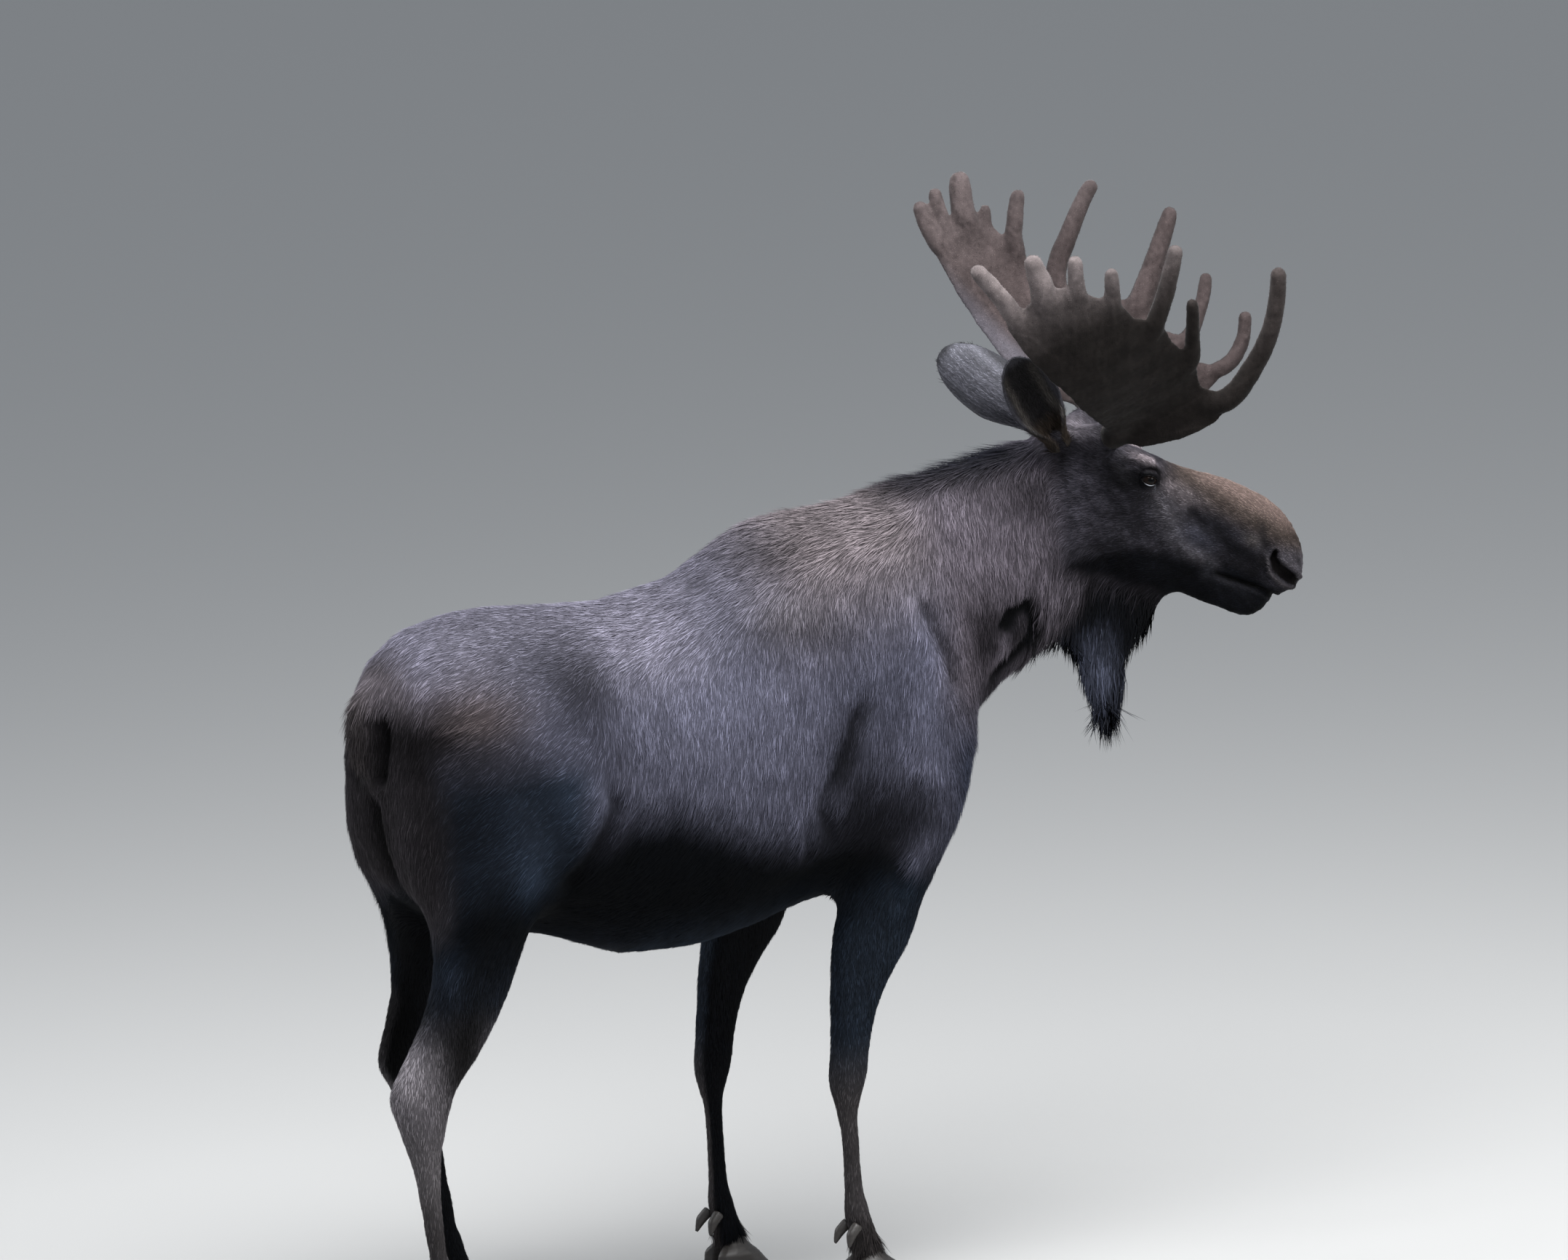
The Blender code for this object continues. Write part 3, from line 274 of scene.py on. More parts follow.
def refine(mesh, chosen):
    """Splits the edges between chosen points in two, and so the faces among them into four."""
    bm = bmesh.new()
    bm.from_mesh(mesh)
    bm.verts.ensure_lookup_table()
    edges = [e for e in bm.edges if chosen[e.verts[0].index] and chosen[e.verts[1].index]]
    bmesh.ops.subdivide_edges(bm, edges=edges, cuts=1, use_grid_fill=True)
    bmesh.ops.triangulate(bm, faces=[f for f in bm.faces if len(f.verts) > 4])
    bm.to_mesh(mesh)
    bm.free()


def add_tube(bm, points, radii, sides):
    """A closed tube along the points, flat at both ends."""
    points = [Vector(p) for p in points]
    last = len(points) - 1
    rings = []
    for i, centre in enumerate(points):
        along = (points[min(i + 1, last)] - points[max(i - 1, 0)]).normalized()
        up = (Vector((0, 1, 0)) - along.y * along).normalized()
        out = along.cross(up)
        turns = np.linspace(0, 2 * math.pi, sides, endpoint=False)
        spokes = [float(radii[i]) * (math.cos(t) * out + math.sin(t) * up) for t in turns]
        rings.append([bm.verts.new(centre + spoke) for spoke in spokes])
    for a, b in zip(rings, rings[1:]):
        for k in range(sides):
            bm.faces.new((a[k], a[(k + 1) % sides], b[(k + 1) % sides], b[k]))
    bm.faces.new(reversed(rings[0]))
    bm.faces.new(rings[-1])


def add_shell(bm, sheets):
    """A closed shell between two sheets, each given as rows of points."""
    corner = [[[bm.verts.new(p) for p in row] for row in sheet] for sheet in sheets]
    rows, columns = len(corner[0]), len(corner[0][0])
    for sheet in corner:
        for i in range(rows - 1):
            for j in range(columns - 1):
                bm.faces.new((sheet[i][j], sheet[i + 1][j], sheet[i + 1][j + 1], sheet[i][j + 1]))
    edge = [(i, 0) for i in range(rows)] + [(rows - 1, j) for j in range(1, columns)]
    edge += [(i, columns - 1) for i in range(rows - 2, -1, -1)] + [(0, j) for j in range(columns - 2, 0, -1)]
    for (i, j), (k, m) in zip(edge, edge[1:] + edge[:1]):
        bm.faces.new((corner[0][i][j], corner[0][k][m], corner[1][k][m], corner[1][i][j]))


# ---------------------------------------------------------------- the skin's shape
BODY_VOXEL = 0.0115
SWELLING = 0.0008  # closes the cuts between the solids of flesh
SAME_POINT = 0.00002


def joined_flesh():
    """All the solids of flesh, swollen a hair so that they run into each other."""
    whole = bmesh.new()
    for name in FLESH + ["right_eye", "left_eye"]:
        part = bmesh.new()
        part.from_mesh(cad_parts[name].data)
        bmesh.ops.remove_doubles(part, verts=part.verts, dist=SAME_POINT)
        bmesh.ops.recalc_face_normals(part, faces=part.faces)
        part.normal_update()
        for vertex, move in [(v, v.normal.copy()) for v in part.verts]:
            vertex.co += SWELLING * move
        whole.from_mesh(finished(part, "part"))
    return whole


BELL_PATH = ((0.2, 0, -0.2), (0.3, 0, -0.32), (0.38, 0, -0.42), (0.46, 0, -0.54))


def bell_share(head):
    """1 on the bell, 0 on the head and neck. Takes points in the head's frame."""
    line = -0.199 + (head[:, 0] - 0.5) * (0.0618 / 0.3435)
    gap, _ = along_path(head, BELL_PATH)
    return ramp(head[:, 2] - line, 0.02, -0.03) * ramp(head[:, 0], 0.08, 0.17) * ramp(gap, 0.19, 0.15)


def head_share(head):
    return ramp(head[:, 0] + 0.734 * head[:, 2], -0.055, 0.03) * (1 - bell_share(head))


def body_share(head):
    return 1 - np.clip(head_share(head) + bell_share(head), 0, 1)


def leg_share(points):
    return ramp(points[:, 2], 1.02, 0.8)


def coat_depth(points):
    """How far the skin lies under the coat's tips."""
    head = to_head(points)
    depth = mix(0.008, 0.0045, leg_share(points))
    crest = ramp(points[:, 0], -0.25, 0.05) * ramp(top_of_body(points[:, 0]) - points[:, 2], 0.1, 0.01)
    depth = mix(depth, 0.022, crest * (1 - head_share(head)))
    depth = mix(depth, 0.004, head_share(head))
    depth = mix(depth, 0.0022, head_share(head) * ramp(head[:, 0], 0.4, 0.6))
    return mix(depth, 0.012, bell_share(head))


TOP_LINE = {}


def measure_top(points):
    """The height of the back at each place along it."""
    stations = np.arange(-1.2, 0.7, 0.02)
    heights = [points[np.abs(points[:, 0] - x) < 0.02, 2].max() for x in stations]
    TOP_LINE["x"], TOP_LINE["z"] = stations, np.array(heights)


def top_of_body(x):
    return np.interp(x, TOP_LINE["x"], TOP_LINE["z"])


# Folds and edges of muscle, seen from the side, in mm: path of (x, z), width, height out of the skin
BODY_RELIEF = metres((
    (((-705, 1330), (-690, 1260), (-710, 1212), (-740, 1164), (-784, 1106), (-815, 1050)),
     24, -20),  # the crease in front of the thigh
    (((-725, 1330), (-715, 1260), (-740, 1200), (-775, 1140), (-815, 1085)), 30, 8),
    (((-870, 1480), (-879, 1322), (-871, 1269), (-845, 1198)), 45, -4),
    (((-960, 1470), (-965, 1330), (-945, 1200), (-925, 1100)), 45, 4),
    (((30, 1440), (3, 1377), (-36, 1318), (-67, 1259), (-112, 1200), (-128, 1169),
      (-108, 1125), (-78, 1041)), 28, -18),  # behind the elbow
    (((50, 1400), (10, 1320), (-30, 1240), (-70, 1180), (-65, 1120)), 40, 8),
    (((160, 1640), (185, 1575), (198, 1523), (224, 1468), (248, 1411), (262, 1330)), 24, 8),
    (((215, 1620), (235, 1569), (250, 1516), (270, 1462), (284, 1410), (296, 1350)), 24, -13),
    (((150, 1270), (194, 1180), (200, 1123), (165, 1077), (126, 1000), (110, 930)), 30, 7),
    (((55, 1110), (70, 1040), (60, 960), (45, 880)), 25, -5),
    (((-245, 1195), (-235, 1130), (-215, 1060)), 13, -3),  # rumpled skin behind the elbow
    (((-212, 1180), (-200, 1110), (-180, 1040)), 12, 4),
    (((-180, 1165), (-170, 1100), (-150, 1030)), 12, -4),
    (((-826, 1172), (-801, 1173), (-781, 1183)), 8, -5),
))
# Seen from behind, in mm: path of (side, z) from the midline, mirrored, width, height
REAR_RELIEF = metres((
    (((62, 1520), (66, 1450), (55, 1380), (30, 1340)), 18, -24),  # beside the tail
    (((0, 1340), (0, 1240), (0, 1120), (0, 1000)), 24, -26),  # between the thighs
    (((110, 1440), (120, 1300), (125, 1180)), 40, 6),
))
# The fold of loose skin low on the right of the neck, a curl with a tail: x, z in mm
NECK_FOLD = metres(((454, 1500), (472, 1532), (508, 1539), (536, 1513), (538, 1476), (518, 1442),
                    (478, 1410), (436, 1383), (405, 1352)))


def neck_fold(points):
    """How near each point is to the curled fold on the right of the neck, and to the pad inside it."""
    side_view = points[:, (0, 2)]
    on_right = ramp(points[:, 1], 0.055, 0.015) * ramp(points[:, 0], 0.34, 0.4)
    gap, place = along_path(side_view, NECK_FOLD)
    fold = bump(gap, mix(0.024, 0.018, place)) * ramp(place, 1.0, 0.8)
    return on_right * fold, on_right * near(side_view, (0.458, 1.465), (0.018, 0.034))


def body_relief(points):
    """Height of the folds and muscles over the plain form of the body."""
    head = to_head(points)
    body = body_share(head)
    side_view = points[:, (0, 2)]
    off = np.abs(points[:, 1] - MIDLINE)
    flank = ramp(off, 0.035, 0.09) * body
    height = np.zeros(len(points))
    for path, width, amount in BODY_RELIEF:
        height += amount * ridge(side_view, path, width, start=0.22) * flank
    rear_view = np.stack([off, points[:, 2]], 1)
    behind = ramp(points[:, 0], -1.06, -1.12)
    for path, width, amount in REAR_RELIEF:
        height += amount * ridge(rear_view, path, width, 0.15, 0.85) * behind
    fold, pad = neck_fold(points)
    return height - 0.019 * fold + 0.004 * pad


def sculpt_body(skin):
    points = skin.points
    head = to_head(points)
    body = body_share(head)
    rough = 0.0035 * waves(points, 0.28, 3) + 0.0012 * waves(points, 0.09, 4)
    full_end = 0.013 * bell_share(head) * ramp(points[:, 2], 1.42, 1.32)
    skin.push(body_relief(points) + rough * body * (1 - leg_share(points)) + full_end)


# In the head's frame, both sides alike, in mm: path of (x, y, z), width, height
HEAD_RELIEF = metres((
    (((290, 94, -30), (350, 82, -40), (420, 72, -40), (480, 72, -36)), 18, 4),
    (((272, 98, 4), (296, 92, -10), (318, 88, -26)), 7, -3.5),  # tear groove
    (((200, 85, 52), (225, 90, 60), (250, 88, 60)), 22, 7),
    (((205, 90, 40), (225, 96, 46), (252, 96, 45), (274, 90, 36)), 12, 5),
    (((212, 98, 22), (228, 104, 32), (250, 104, 35), (270, 98, 28)), 6, -3),
    (((160, 100, 40), (185, 100, 30), (200, 100, 12)), 20, -6),  # temple
    (((160, 98, -170), (230, 95, -150), (300, 85, -130), (370, 75, -125)), 28, 5),
    (((120, 95, -60), (190, 100, -75), (260, 93, -100), (330, 80, -125)), 22, -4),
    (((520, 76, 40), (570, 80, 10), (610, 80, -10)), 18, -4),
    (((500, 72, -60), (540, 72, -66), (590, 70, -64), (630, 68, -60)), 16, 3),
    (((540, 52, -128), (580, 50, -126), (620, 48, -118)), 10, 3),
))
# Side views in the head's frame: x, z in mm
MOUTH = metres(((508, -104), (522, -106), (547, -103), (584, -96), (619, -89), (645, -86),
                (672, -92)))
MOUTH_FOLDS = metres((((497, -86), (494, -104), (500, -122)), ((482, -92), (478, -110), (484, -128))))
# painted highlight along the cheekbone
CHEEKBONE_HIGHLIGHT = metres(((285, -5), (325, -30), (375, -60), (430, -85), (490, -100)))
# The nostril is a comma, narrow above, wide in front and below: x, z, half-width in mm
NOSTRIL = metres(((606, 4, 5.5), (610, -12, 9), (630, -26, 13), (660, -32, 14),
                  (684, -36, 13), (697, -36, 8.5)))


def nostril_reach(sides):
    """Distance from the middle line of the nostril, as a share of its half-width there."""
    path = np.array(NOSTRIL)
    gap, place = along_path(sides[:, (0, 2)], path[:, :2])
    reach = gap / np.interp(place, np.linspace(0, 1, len(path)), path[:, 2])
    return reach + 5 * ramp(sides[:, 1], 0.03, 0.018)


def mirrored(head):
    return np.stack([head[:, 0], np.abs(head[:, 1]), head[:, 2]], 1)


def sculpt_head(skin):
    head = mirrored(to_head(skin.points))
    share = head_share(head)
    side_view = head[:, (0, 2)]
    height = np.zeros(len(head))
    for path, width, amount in HEAD_RELIEF:
        height += amount * ridge(head, path, width)
    gap, place = along_path(side_view, MOUTH)
    gap = gap + 0.0012 * waves(head, 0.03, 10)
    slit = ramp(place, 0.0, 0.1) * mix(1.0, 0.45, ramp(place, 0.4, 0.75))
    height -= 0.007 * bump(gap, 0.0056) * slit
    height += 0.0035 * bump(gap - 0.013, 0.007) * ramp(head[:, 0], 0.505, 0.54)
    for corner in MOUTH_FOLDS:
        height -= 0.0022 * ridge(side_view, corner, 0.0045)
    seen, outer = beside_eye(head)
    gap, place = along_path(seen, FRONT_FOLD)
    height -= 0.005 * bump(gap, 0.005) * ramp(place, 0.0, 0.2) * outer
    reach = nostril_reach(head)
    shallow = 1 - 0.6 * ramp(head[:, 0], 0.67, 0.705)
    height += -0.017 * shallow * bump(reach, 0.95, 4) + 0.004 * bump(reach - 1.65, 0.45)
    wrinkle = ramp(head[:, 0], 0.45, 0.6) * (0.0007 * waves(head * (1, 1, 2.5), 0.022, 8))
    skin.push((height + wrinkle + 0.0008 * waves(head, 0.05, 9)) * share)


# Beside the eye, along its front and up axes, in mm
FRONT_FOLD = metres(((12, 28), (25, 18), (28, 2), (26, -10)))
TEAR_LINE = metres(((19.5, -4), (22.5, -13), (24.5, -26)))


def eye_axes(side):
    """The eye's middle, and the ways out of it, to its front corner and up, in the head's frame."""
    sign = SIDES[side]
    centre = EYE_IN_HEAD * (1, sign, 1)
    out = unit(np.array((0.2, sign, 0.16)))
    front = np.array((1.0, 0, 0.28))
    front = unit(front - out * (front @ out))
    up = np.cross(out, front) * -sign
    return centre, out, front, up


def beside_eye(sides):
    """Mirrored points along the left eye's front and up axes, and which of them are on the outside."""
    centre, _, front, up = eye_axes("left")
    return np.stack([(sides - centre) @ front, (sides - centre) @ up], 1), np.abs(sides[:, 1] - 0.08) < 0.05


LID_HALF_WIDTH = 0.0198
LID_LEAN = 0.001


def lid_height(across, upper):
    """How far the edge of a lid stands from the middle line of the opening."""
    lean = across + LID_LEAN
    height = np.where(upper, 0.0096, 0.0125) * (1 - 6.0 * across)
    return height * np.clip(1 - (lean / LID_HALF_WIDTH) ** 2, 0, 1) ** 0.62


def lid_opening(across, above):
    """Under 1 inside the almond opening between the lids, which is fuller behind than in front."""
    height = np.maximum(lid_height(across, above > 0), 1e-4)
    return np.maximum(np.abs(above) / height, np.abs(across + LID_LEAN) / LID_HALF_WIDTH)


def sculpt_lids(skin):
    for side in SIDES:
        head = to_head(skin.points)
        centre, out, front, up = eye_axes(side)
        local = head - centre
        across, above, depth = local @ front, local @ up, local @ out
        radius = np.hypot(across, above)
        close = (radius < 0.038) & (np.abs(depth) < 0.034)
        opening = lid_opening(across, above)
        lid = EYE_RADIUS + 0.0012 + 0.0012 * bump(opening - 1.2, 0.16)
        lid += 0.0036 * ramp(above, 0.004, 0.014) * ramp(opening, 1.1, 1.6)
        dome = np.sqrt(np.clip(lid**2 - radius**2, 0, None))
        sunk = np.sqrt(np.clip((EYE_RADIUS - 0.0045) ** 2 - radius**2, 0, None))
        target = np.where(opening < 1.0, sunk, dome)
        blend = ramp(radius, 0.0335, 0.02)
        moved = local + out * ((target - depth) * blend)[:, None]
        head[close] = (moved + centre)[close]
        skin.points = from_head(head)


def refined(mesh, chosen, share):
    """The mesh with the chosen places split finer, as a surface softened twice by this share."""
    refine(mesh, chosen)
    skin = Surface(mesh)
    skin.soften(share, 2)
    return skin


def build_skin():
    mesh = fused(joined_flesh(), BODY_VOXEL)
    skin = Surface(mesh)
    measure_top(skin.points)
    head = to_head(skin.points)
    # the facets go, most on the trunk, and the tail keeps its form
    trunk = (1 - head_share(head)) * (1 - leg_share(skin.points)) * (1 - 0.6 * bell_share(head))
    trunk *= 1 - near(skin.points, (-1.215, MIDLINE, 1.45), (0.055, 0.09, 0.16))
    skin.soften(0.5 * mix(0.25, 1.0, trunk), 24)
    skin.soften(0.5 * trunk, 36)
    skin.soften(0.6 * near(skin.points, (-0.54, MIDLINE, 0.86), (0.13, 0.12, 0.09)), 40)
    skin.store(mesh)
    # the head is split finer, and eyes, nostrils and mouth finer still
    skin = refined(mesh, head_share(to_head(skin.points)) > 0.2, 0.4)
    skin.store(mesh)
    head = to_head(skin.points)
    features = mirrored(head)
    at_eye = np.linalg.norm(features - EYE_IN_HEAD, axis=1) < 0.045
    at_nostril = nostril_reach(features) < 2.4
    at_mouth = along_path(features[:, (0, 2)], MOUTH)[0] < 0.016
    refine(mesh, at_eye | (at_nostril | at_mouth) & (head_share(head) > 0.5))
    features = mirrored(to_head(Surface(mesh).points))
    skin = refined(mesh, np.linalg.norm(features - EYE_IN_HEAD, axis=1) < 0.036, 0.3)
    # the skin draws in under the coat, but not into the hooves
    foot = ramp(skin.points[:, 2], 0.105, 0.092)
    level = skin.points[:, 2].copy()
    skin.push(-coat_depth(skin.points))
    skin.points[:, 2] = mix(skin.points[:, 2], level - 0.004, foot)
    sculpt_body(skin)
    sculpt_head(skin)
    sculpt_lids(skin)
    skin.store(mesh)
    return mesh


def unwrap(obj):
    """Lays the surface out flat, by its own shape."""
    layer = obj.data.uv_layers.new(name="OFBake")
    obj.data.uv_layers.active = layer
    bpy.ops.object.select_all(action="DESELECT")
    bpy.context.view_layer.objects.active = obj
    obj.select_set(True)
    bpy.ops.object.mode_set(mode="EDIT")
    bpy.ops.mesh.select_all(action="SELECT")
    bpy.ops.uv.smart_project(angle_limit=math.radians(66), island_margin=0.002)
    bpy.ops.object.mode_set(mode="OBJECT")
    obj.select_set(False)


def shade_smooth(mesh):
    mesh.polygons.foreach_set("use_smooth", np.ones(len(mesh.polygons), bool))


def paint(mesh, colours):
    """Stores a colour at each vertex."""
    layer = mesh.color_attributes.new("Tint", "FLOAT_COLOR", "POINT")
    rgba = np.ones((len(mesh.vertices), 4))
    rgba[:, :3] = np.clip(colours, 0, 1)
    layer.data.foreach_set("color", rgba.ravel())


# ---------------------------------------------------------------- how the coat lies and what colour it is
def even_fields(count, **values):
    """Fields with the same value at every point."""
    return {name: np.tile(value, (count, 1)) if np.ndim(value) else np.full(count, value)
            for name, value in values.items()}


def blend(fields, share, **values):
    """Mixes new values into the fields by this share."""
    for name, value in values.items():
        fields[name] = mix(fields[name], value, share)


BELLY_LINE = metres(((-830, -735, -630, -530, -440, -320, -190, -60, 40, 120),
                     (1100, 1190, 1245, 1245, 1205, 1150, 1100, 1110, 1110, 1020)))
# Lighter and darker places of the coat, mostly painted light and shade and partly its own paler and darker
# hair: x, z, half-sizes along them in mm, and how many times as bright
MARKINGS = (
    (-1145, 1570, 70, 75, 5.2),  # over the root of the tail
    (-1080, 1535, 70, 32, 0.6),
    (-1110, 1468, 70, 36, 0.28),
    (-1050, 1660, 100, 35, 1.35),
    (-720, 1555, 100, 70, 0.42),  # painted shade in the hollow in front of the hip
    (-860, 1600, 90, 50, 0.75),
    (-1085, 1415, 85, 50, 0.4),  # across the top of the thigh
    (-970, 1395, 90, 60, 0.36),
    (-1060, 1260, 80, 90, 0.5),
    (-900, 1095, 45, 85, 3.8),  # the front edge of the thigh
    (-780, 1310, 60, 80, 2.0),
    (-860, 1300, 60, 80, 1.4),
    (60, 1130, 110, 90, 0.16),  # the upper arm
    (160, 1120, 60, 60, 0.4),
    (-45, 1235, 55, 110, 0.22),  # painted shade in the crease behind the upper arm
    (10, 1370, 40, 60, 0.55),
    (85, 960, 80, 60, 4.0),  # the forearm's muscle
    (175, 1330, 45, 90, 1.4),  # the point of the shoulder
    (-140, 1750, 120, 45, 0.6),  # beside the withers
    (-200, 1575, 100, 45, 0.6),
    (-10, 1560, 80, 60, 0.65),
    (390, 1500, 42, 80, 0.17),  # painted shadow behind the fold of the neck
    (430, 1345, 60, 45, 0.3),
    (486, 1482, 28, 30, 0.22),  # painted shade inside its curl
    (446, 1468, 11, 34, 1.5),
    (590, 1530, 35, 70, 1.5),  # painted light on the ridge in front of it
    (-640, 1360, 60, 60, 0.7),
    (-330, 1420, 120, 60, 1.28),
    (-720, 1500, 90, 75, 0.62),
    (80, 1545, 60, 50, 1.3),
    (230, 1400, 80, 160, 1.22),
    (-940, 1590, 90, 45, 1.25),
    (-880, 1090, 60, 70, 1.3),
    (555, 1800, 70, 55, 0.34),  # behind the ear
    (600, 1690, 40, 90, 0.6),
    (440, 1840, 90, 40, 0.6),
    (250, 1850, 100, 35, 0.5),
    (-1000, 1545, 70, 45, 1.35),
    (-885, 1450, 50, 40, 1.3),
    (-745, 1420, 55, 70, 0.76),
    (30, 1810, 60, 40, 0.82),
    (105, 1715, 50, 45, 1.35),
    (120, 1250, 45, 50, 1.2),
    (265, 1350, 50, 80, 0.72),
    (-1105, 960, 40, 110, 6.5),  # pale hair with a painted highlight over the tendon of the hock
    (-1215, 720, 60, 120, 2.3),
    (-1085, 745, 55, 110, 0.08),
)


def coat_fields(points, normals):
    """The coat at each point of skin: its lie, length, width, lift, colour and share of light hairs; its
    colour is partly painted light and shade, lighter on top, near black underneath and bluer as a painted
    sheen of the sky.
    """
    head = to_head(points)
    face, bell, leg = head_share(head), bell_share(head), leg_share(points)
    x, y, z = points.T
    below = top_of_body(x) - z
    side_view = points[:, (0, 2)]
    # the coat's colour is painted bluer than its own dark brown, as a painted sheen of the sky
    fields = even_fields(len(points), lie=(-0.32, 0.0, -0.95), length=0.038, width=0.0024, lift=0.18,
                         tint=(0.12, 0.121, 0.168), light=0.22, stray=0.13, ruffle=0.45)
    lay = partial(blend, fields)
    # the body from above down
    fore = ramp(x, -0.2, 0.12)
    lay(fore, lie=(-0.38, 0, -0.92))
    thigh = ramp(x, -0.66, -0.8) * ramp(z, 0.8, 1.0)
    lay(thigh, lie=(-0.87, 0, -0.5), length=0.026, light=0.2)
    lay(thigh * ramp(z, 1.44, 1.32), tint=(0.015, 0.021, 0.033))
    lay(thigh * ramp(z, 1.22, 1.02), lie=(-0.7, 0, -0.72))
    # the back, loins and hump are painted lighter: partly their pale-tipped hair, partly a painted sheen of
    # the light from above
    back = ramp(below, 0.26, 0.03)
    lay(back, lie=(-1, 0, -0.16), tint=(0.125, 0.12, 0.155), light=0.34)
    croup = ramp(x, -0.8, -1.0) * ramp(z, 1.36, 1.5)
    lay(croup * (1 - back), lie=(-0.9, 0, -0.45), tint=(0.088, 0.074, 0.08), light=0.36, length=0.036)
    brown = near(side_view, (-1.01, 1.51), (0.14, 0.055))
    lay(0.55 * brown, tint=(0.086, 0.066, 0.064))
    loin = near(side_view, (-0.5, 1.6), (0.16, 0.08))
    lay(0.7 * loin, tint=(0.19, 0.18, 0.23), light=0.5)
    hump = ramp(x, -0.3, 0.0) * ramp(below, 0.42, 0.1)
    lay(hump, tint=(0.15, 0.128, 0.137), light=0.48, length=0.046, lift=0.27, ruffle=0.9)
    shoulder_patch = near(side_view, (-0.14, 1.61), (0.1, 0.05))
    lay(0.5 * shoulder_patch, tint=(0.13, 0.117, 0.128))
    shoulder = near(side_view, (0.1, 1.38), (0.16, 0.2))
    lay(0.6 * shoulder, tint=(0.062, 0.064, 0.092))
    # the underside, painted nearly black as painted shade behind the elbow and along the belly
    line = np.interp(x, BELLY_LINE[0], BELLY_LINE[1])
    under = ramp(z - line, 0.095, -0.085) * (1 - face) * (1 - bell)
    lay(under, tint=(0.001, 0.002, 0.0035), light=0.03, lie=(-0.75, 0, -0.6), length=0.036)
    flat_under = ramp(-normals[:, 2], 0.4, 0.8) * (1 - leg)
    lay(flat_under, lie=(-1, 0, 0))
    # neck, crest and chest
    neck = ramp(x, 0.2, 0.34)
    lay(neck, lie=(-0.1, 0, -1), length=0.036, tint=(0.135, 0.118, 0.142), light=0.4, lift=0.22, ruffle=0.7)
    brisket = ramp(x, 0.16, 0.3) * ramp(z, 1.42, 1.2)
    lay(brisket, lie=(-0.05, 0, -1), tint=(0.05, 0.056, 0.086), light=0.16, length=0.036)
    crest = ramp(x, 0.16, 0.34) * ramp(below, 0.085, 0.03) * (1 - face)
    lay(crest, lie=(-0.86, 0, -0.4), length=0.085, tint=(0.012, 0.013, 0.02), light=0.14, lift=0.38,
        ruffle=1.0)
    throat = ramp(x, 0.44, 0.58) * ramp(z, 1.68, 1.5)
    lay(throat, tint=(0.048, 0.042, 0.05), light=0.3)
    # legs
    hind = ramp(x, -0.5, -0.6)
    lay(leg, lie=(-0.1, 0, -1), length=0.021, width=0.0036, lift=0.2, light=0.25)
    lay(leg * (1 - hind), tint=(0.014, 0.02, 0.031))
    lay(leg * hind, tint=(0.011, 0.014, 0.021))
    # the hock's own pale hair, painted lighter still as a painted highlight
    hock = ramp(z, 0.86, 0.7) * hind
    lay(hock, tint=(0.135, 0.124, 0.135), light=0.35)
    lay(ramp(z, 0.72, 0.5), light=0.35, length=0.015, width=0.0026, lift=0.17)
    shank = mix((0.062, 0.056, 0.058), (0.15, 0.138, 0.145), (hind * ramp(z, 0.3, 0.46))[:, None])
    lay(ramp(z, 0.62, 0.42), tint=shank)
    lay(ramp(z, 0.2, 0.12), tint=(0.03, 0.026, 0.026), length=0.018, lift=0.25)
    behind = ramp(x, -1.06, -1.14) * ramp(z, 0.95, 1.1)
    lay(behind, lie=(-0.25, 0, -1), tint=(0.033, 0.029, 0.033), length=0.032)
    # the inner sides of the legs and body are painted near black, as painted shade
    off = y - MIDLINE
    inside = ramp(-normals[:, 1] * np.sign(off), 0.15, 0.75) * ramp(z, 1.25, 1.05)
    inside = inside * ramp(np.abs(off), 0.03, 0.08) * (1 - face) * ramp(x, 0.3, 0.2)
    lay(inside, tint=(0.002, 0.0025, 0.004))
    tail = near(points, (-1.235, MIDLINE, 1.45), (0.045, 0.06, 0.13))
    lay(np.clip(1.8 * tail, 0, 1), lie=(-0.15, 0, -1), length=0.05, tint=(0.058, 0.05, 0.052), lift=0.25)
    for *place, times in MARKINGS:
        across, up, wide, high = metres(tuple(place))
        share = near(side_view, (across, up), (wide, high)) * (1 - face)
        fields["tint"] = fields["tint"] * (times ** share)[:, None]
    # painted shade in the curled fold on the right of the neck
    fold = neck_fold(points)[0]
    lay(np.clip(1.4 * fold, 0, 1), tint=(0.0045, 0.005, 0.0075), length=0.014, lift=0.12)
    # painted shade in the folds and painted light on the muscles, from the height of the relief
    relief = body_relief(points)
    fields["tint"] = fields["tint"] * np.exp(np.clip(relief * 62, -1.8, 0.6))[:, None]
    fields["length"] = fields["length"] * np.exp(np.clip(relief * 40, -1.0, 0))
    coronet = ramp(z, 0.14, 0.11)
    lay(coronet, length=0.046, lift=0.42, width=0.0034)
    # bell
    lay(bell, lie=(-0.12, 0, -1), length=0.075, width=0.0032, lift=0.13, stray=0.1, ruffle=0.5)
    hanging = ramp(x - 0.66 - 0.48 * (z - 1.525), -0.03, 0.02)
    lay(bell * hanging, tint=(0.002, 0.0024, 0.0038), light=0.1)
    # a painted blue sheen of the sky on the side of the bell
    painted_bell_sheen = np.clip(1.3 * near(side_view, (0.7, 1.385), (0.05, 0.12)), 0, 1) * ramp(z, 1.55, 1.46)
    lay(bell * painted_bell_sheen, tint=(0.046, 0.051, 0.074), light=0.25)
    head_fields(fields, head, face)
    return fields


# Painted shade in the hollows of the face, seen from the side, in mm
NOSE_HOLLOW_SHADE = metres(((385, -4), (455, -12), (525, -34), (610, -38)))
MUZZLE_HOLLOW_SHADE = metres(((552, 40), (575, 10), (592, -30)))
JAW_LINE = metres(((50, 180, 250, 320, 390, 500), (-270, -232, -186, -142, -116, -92)))


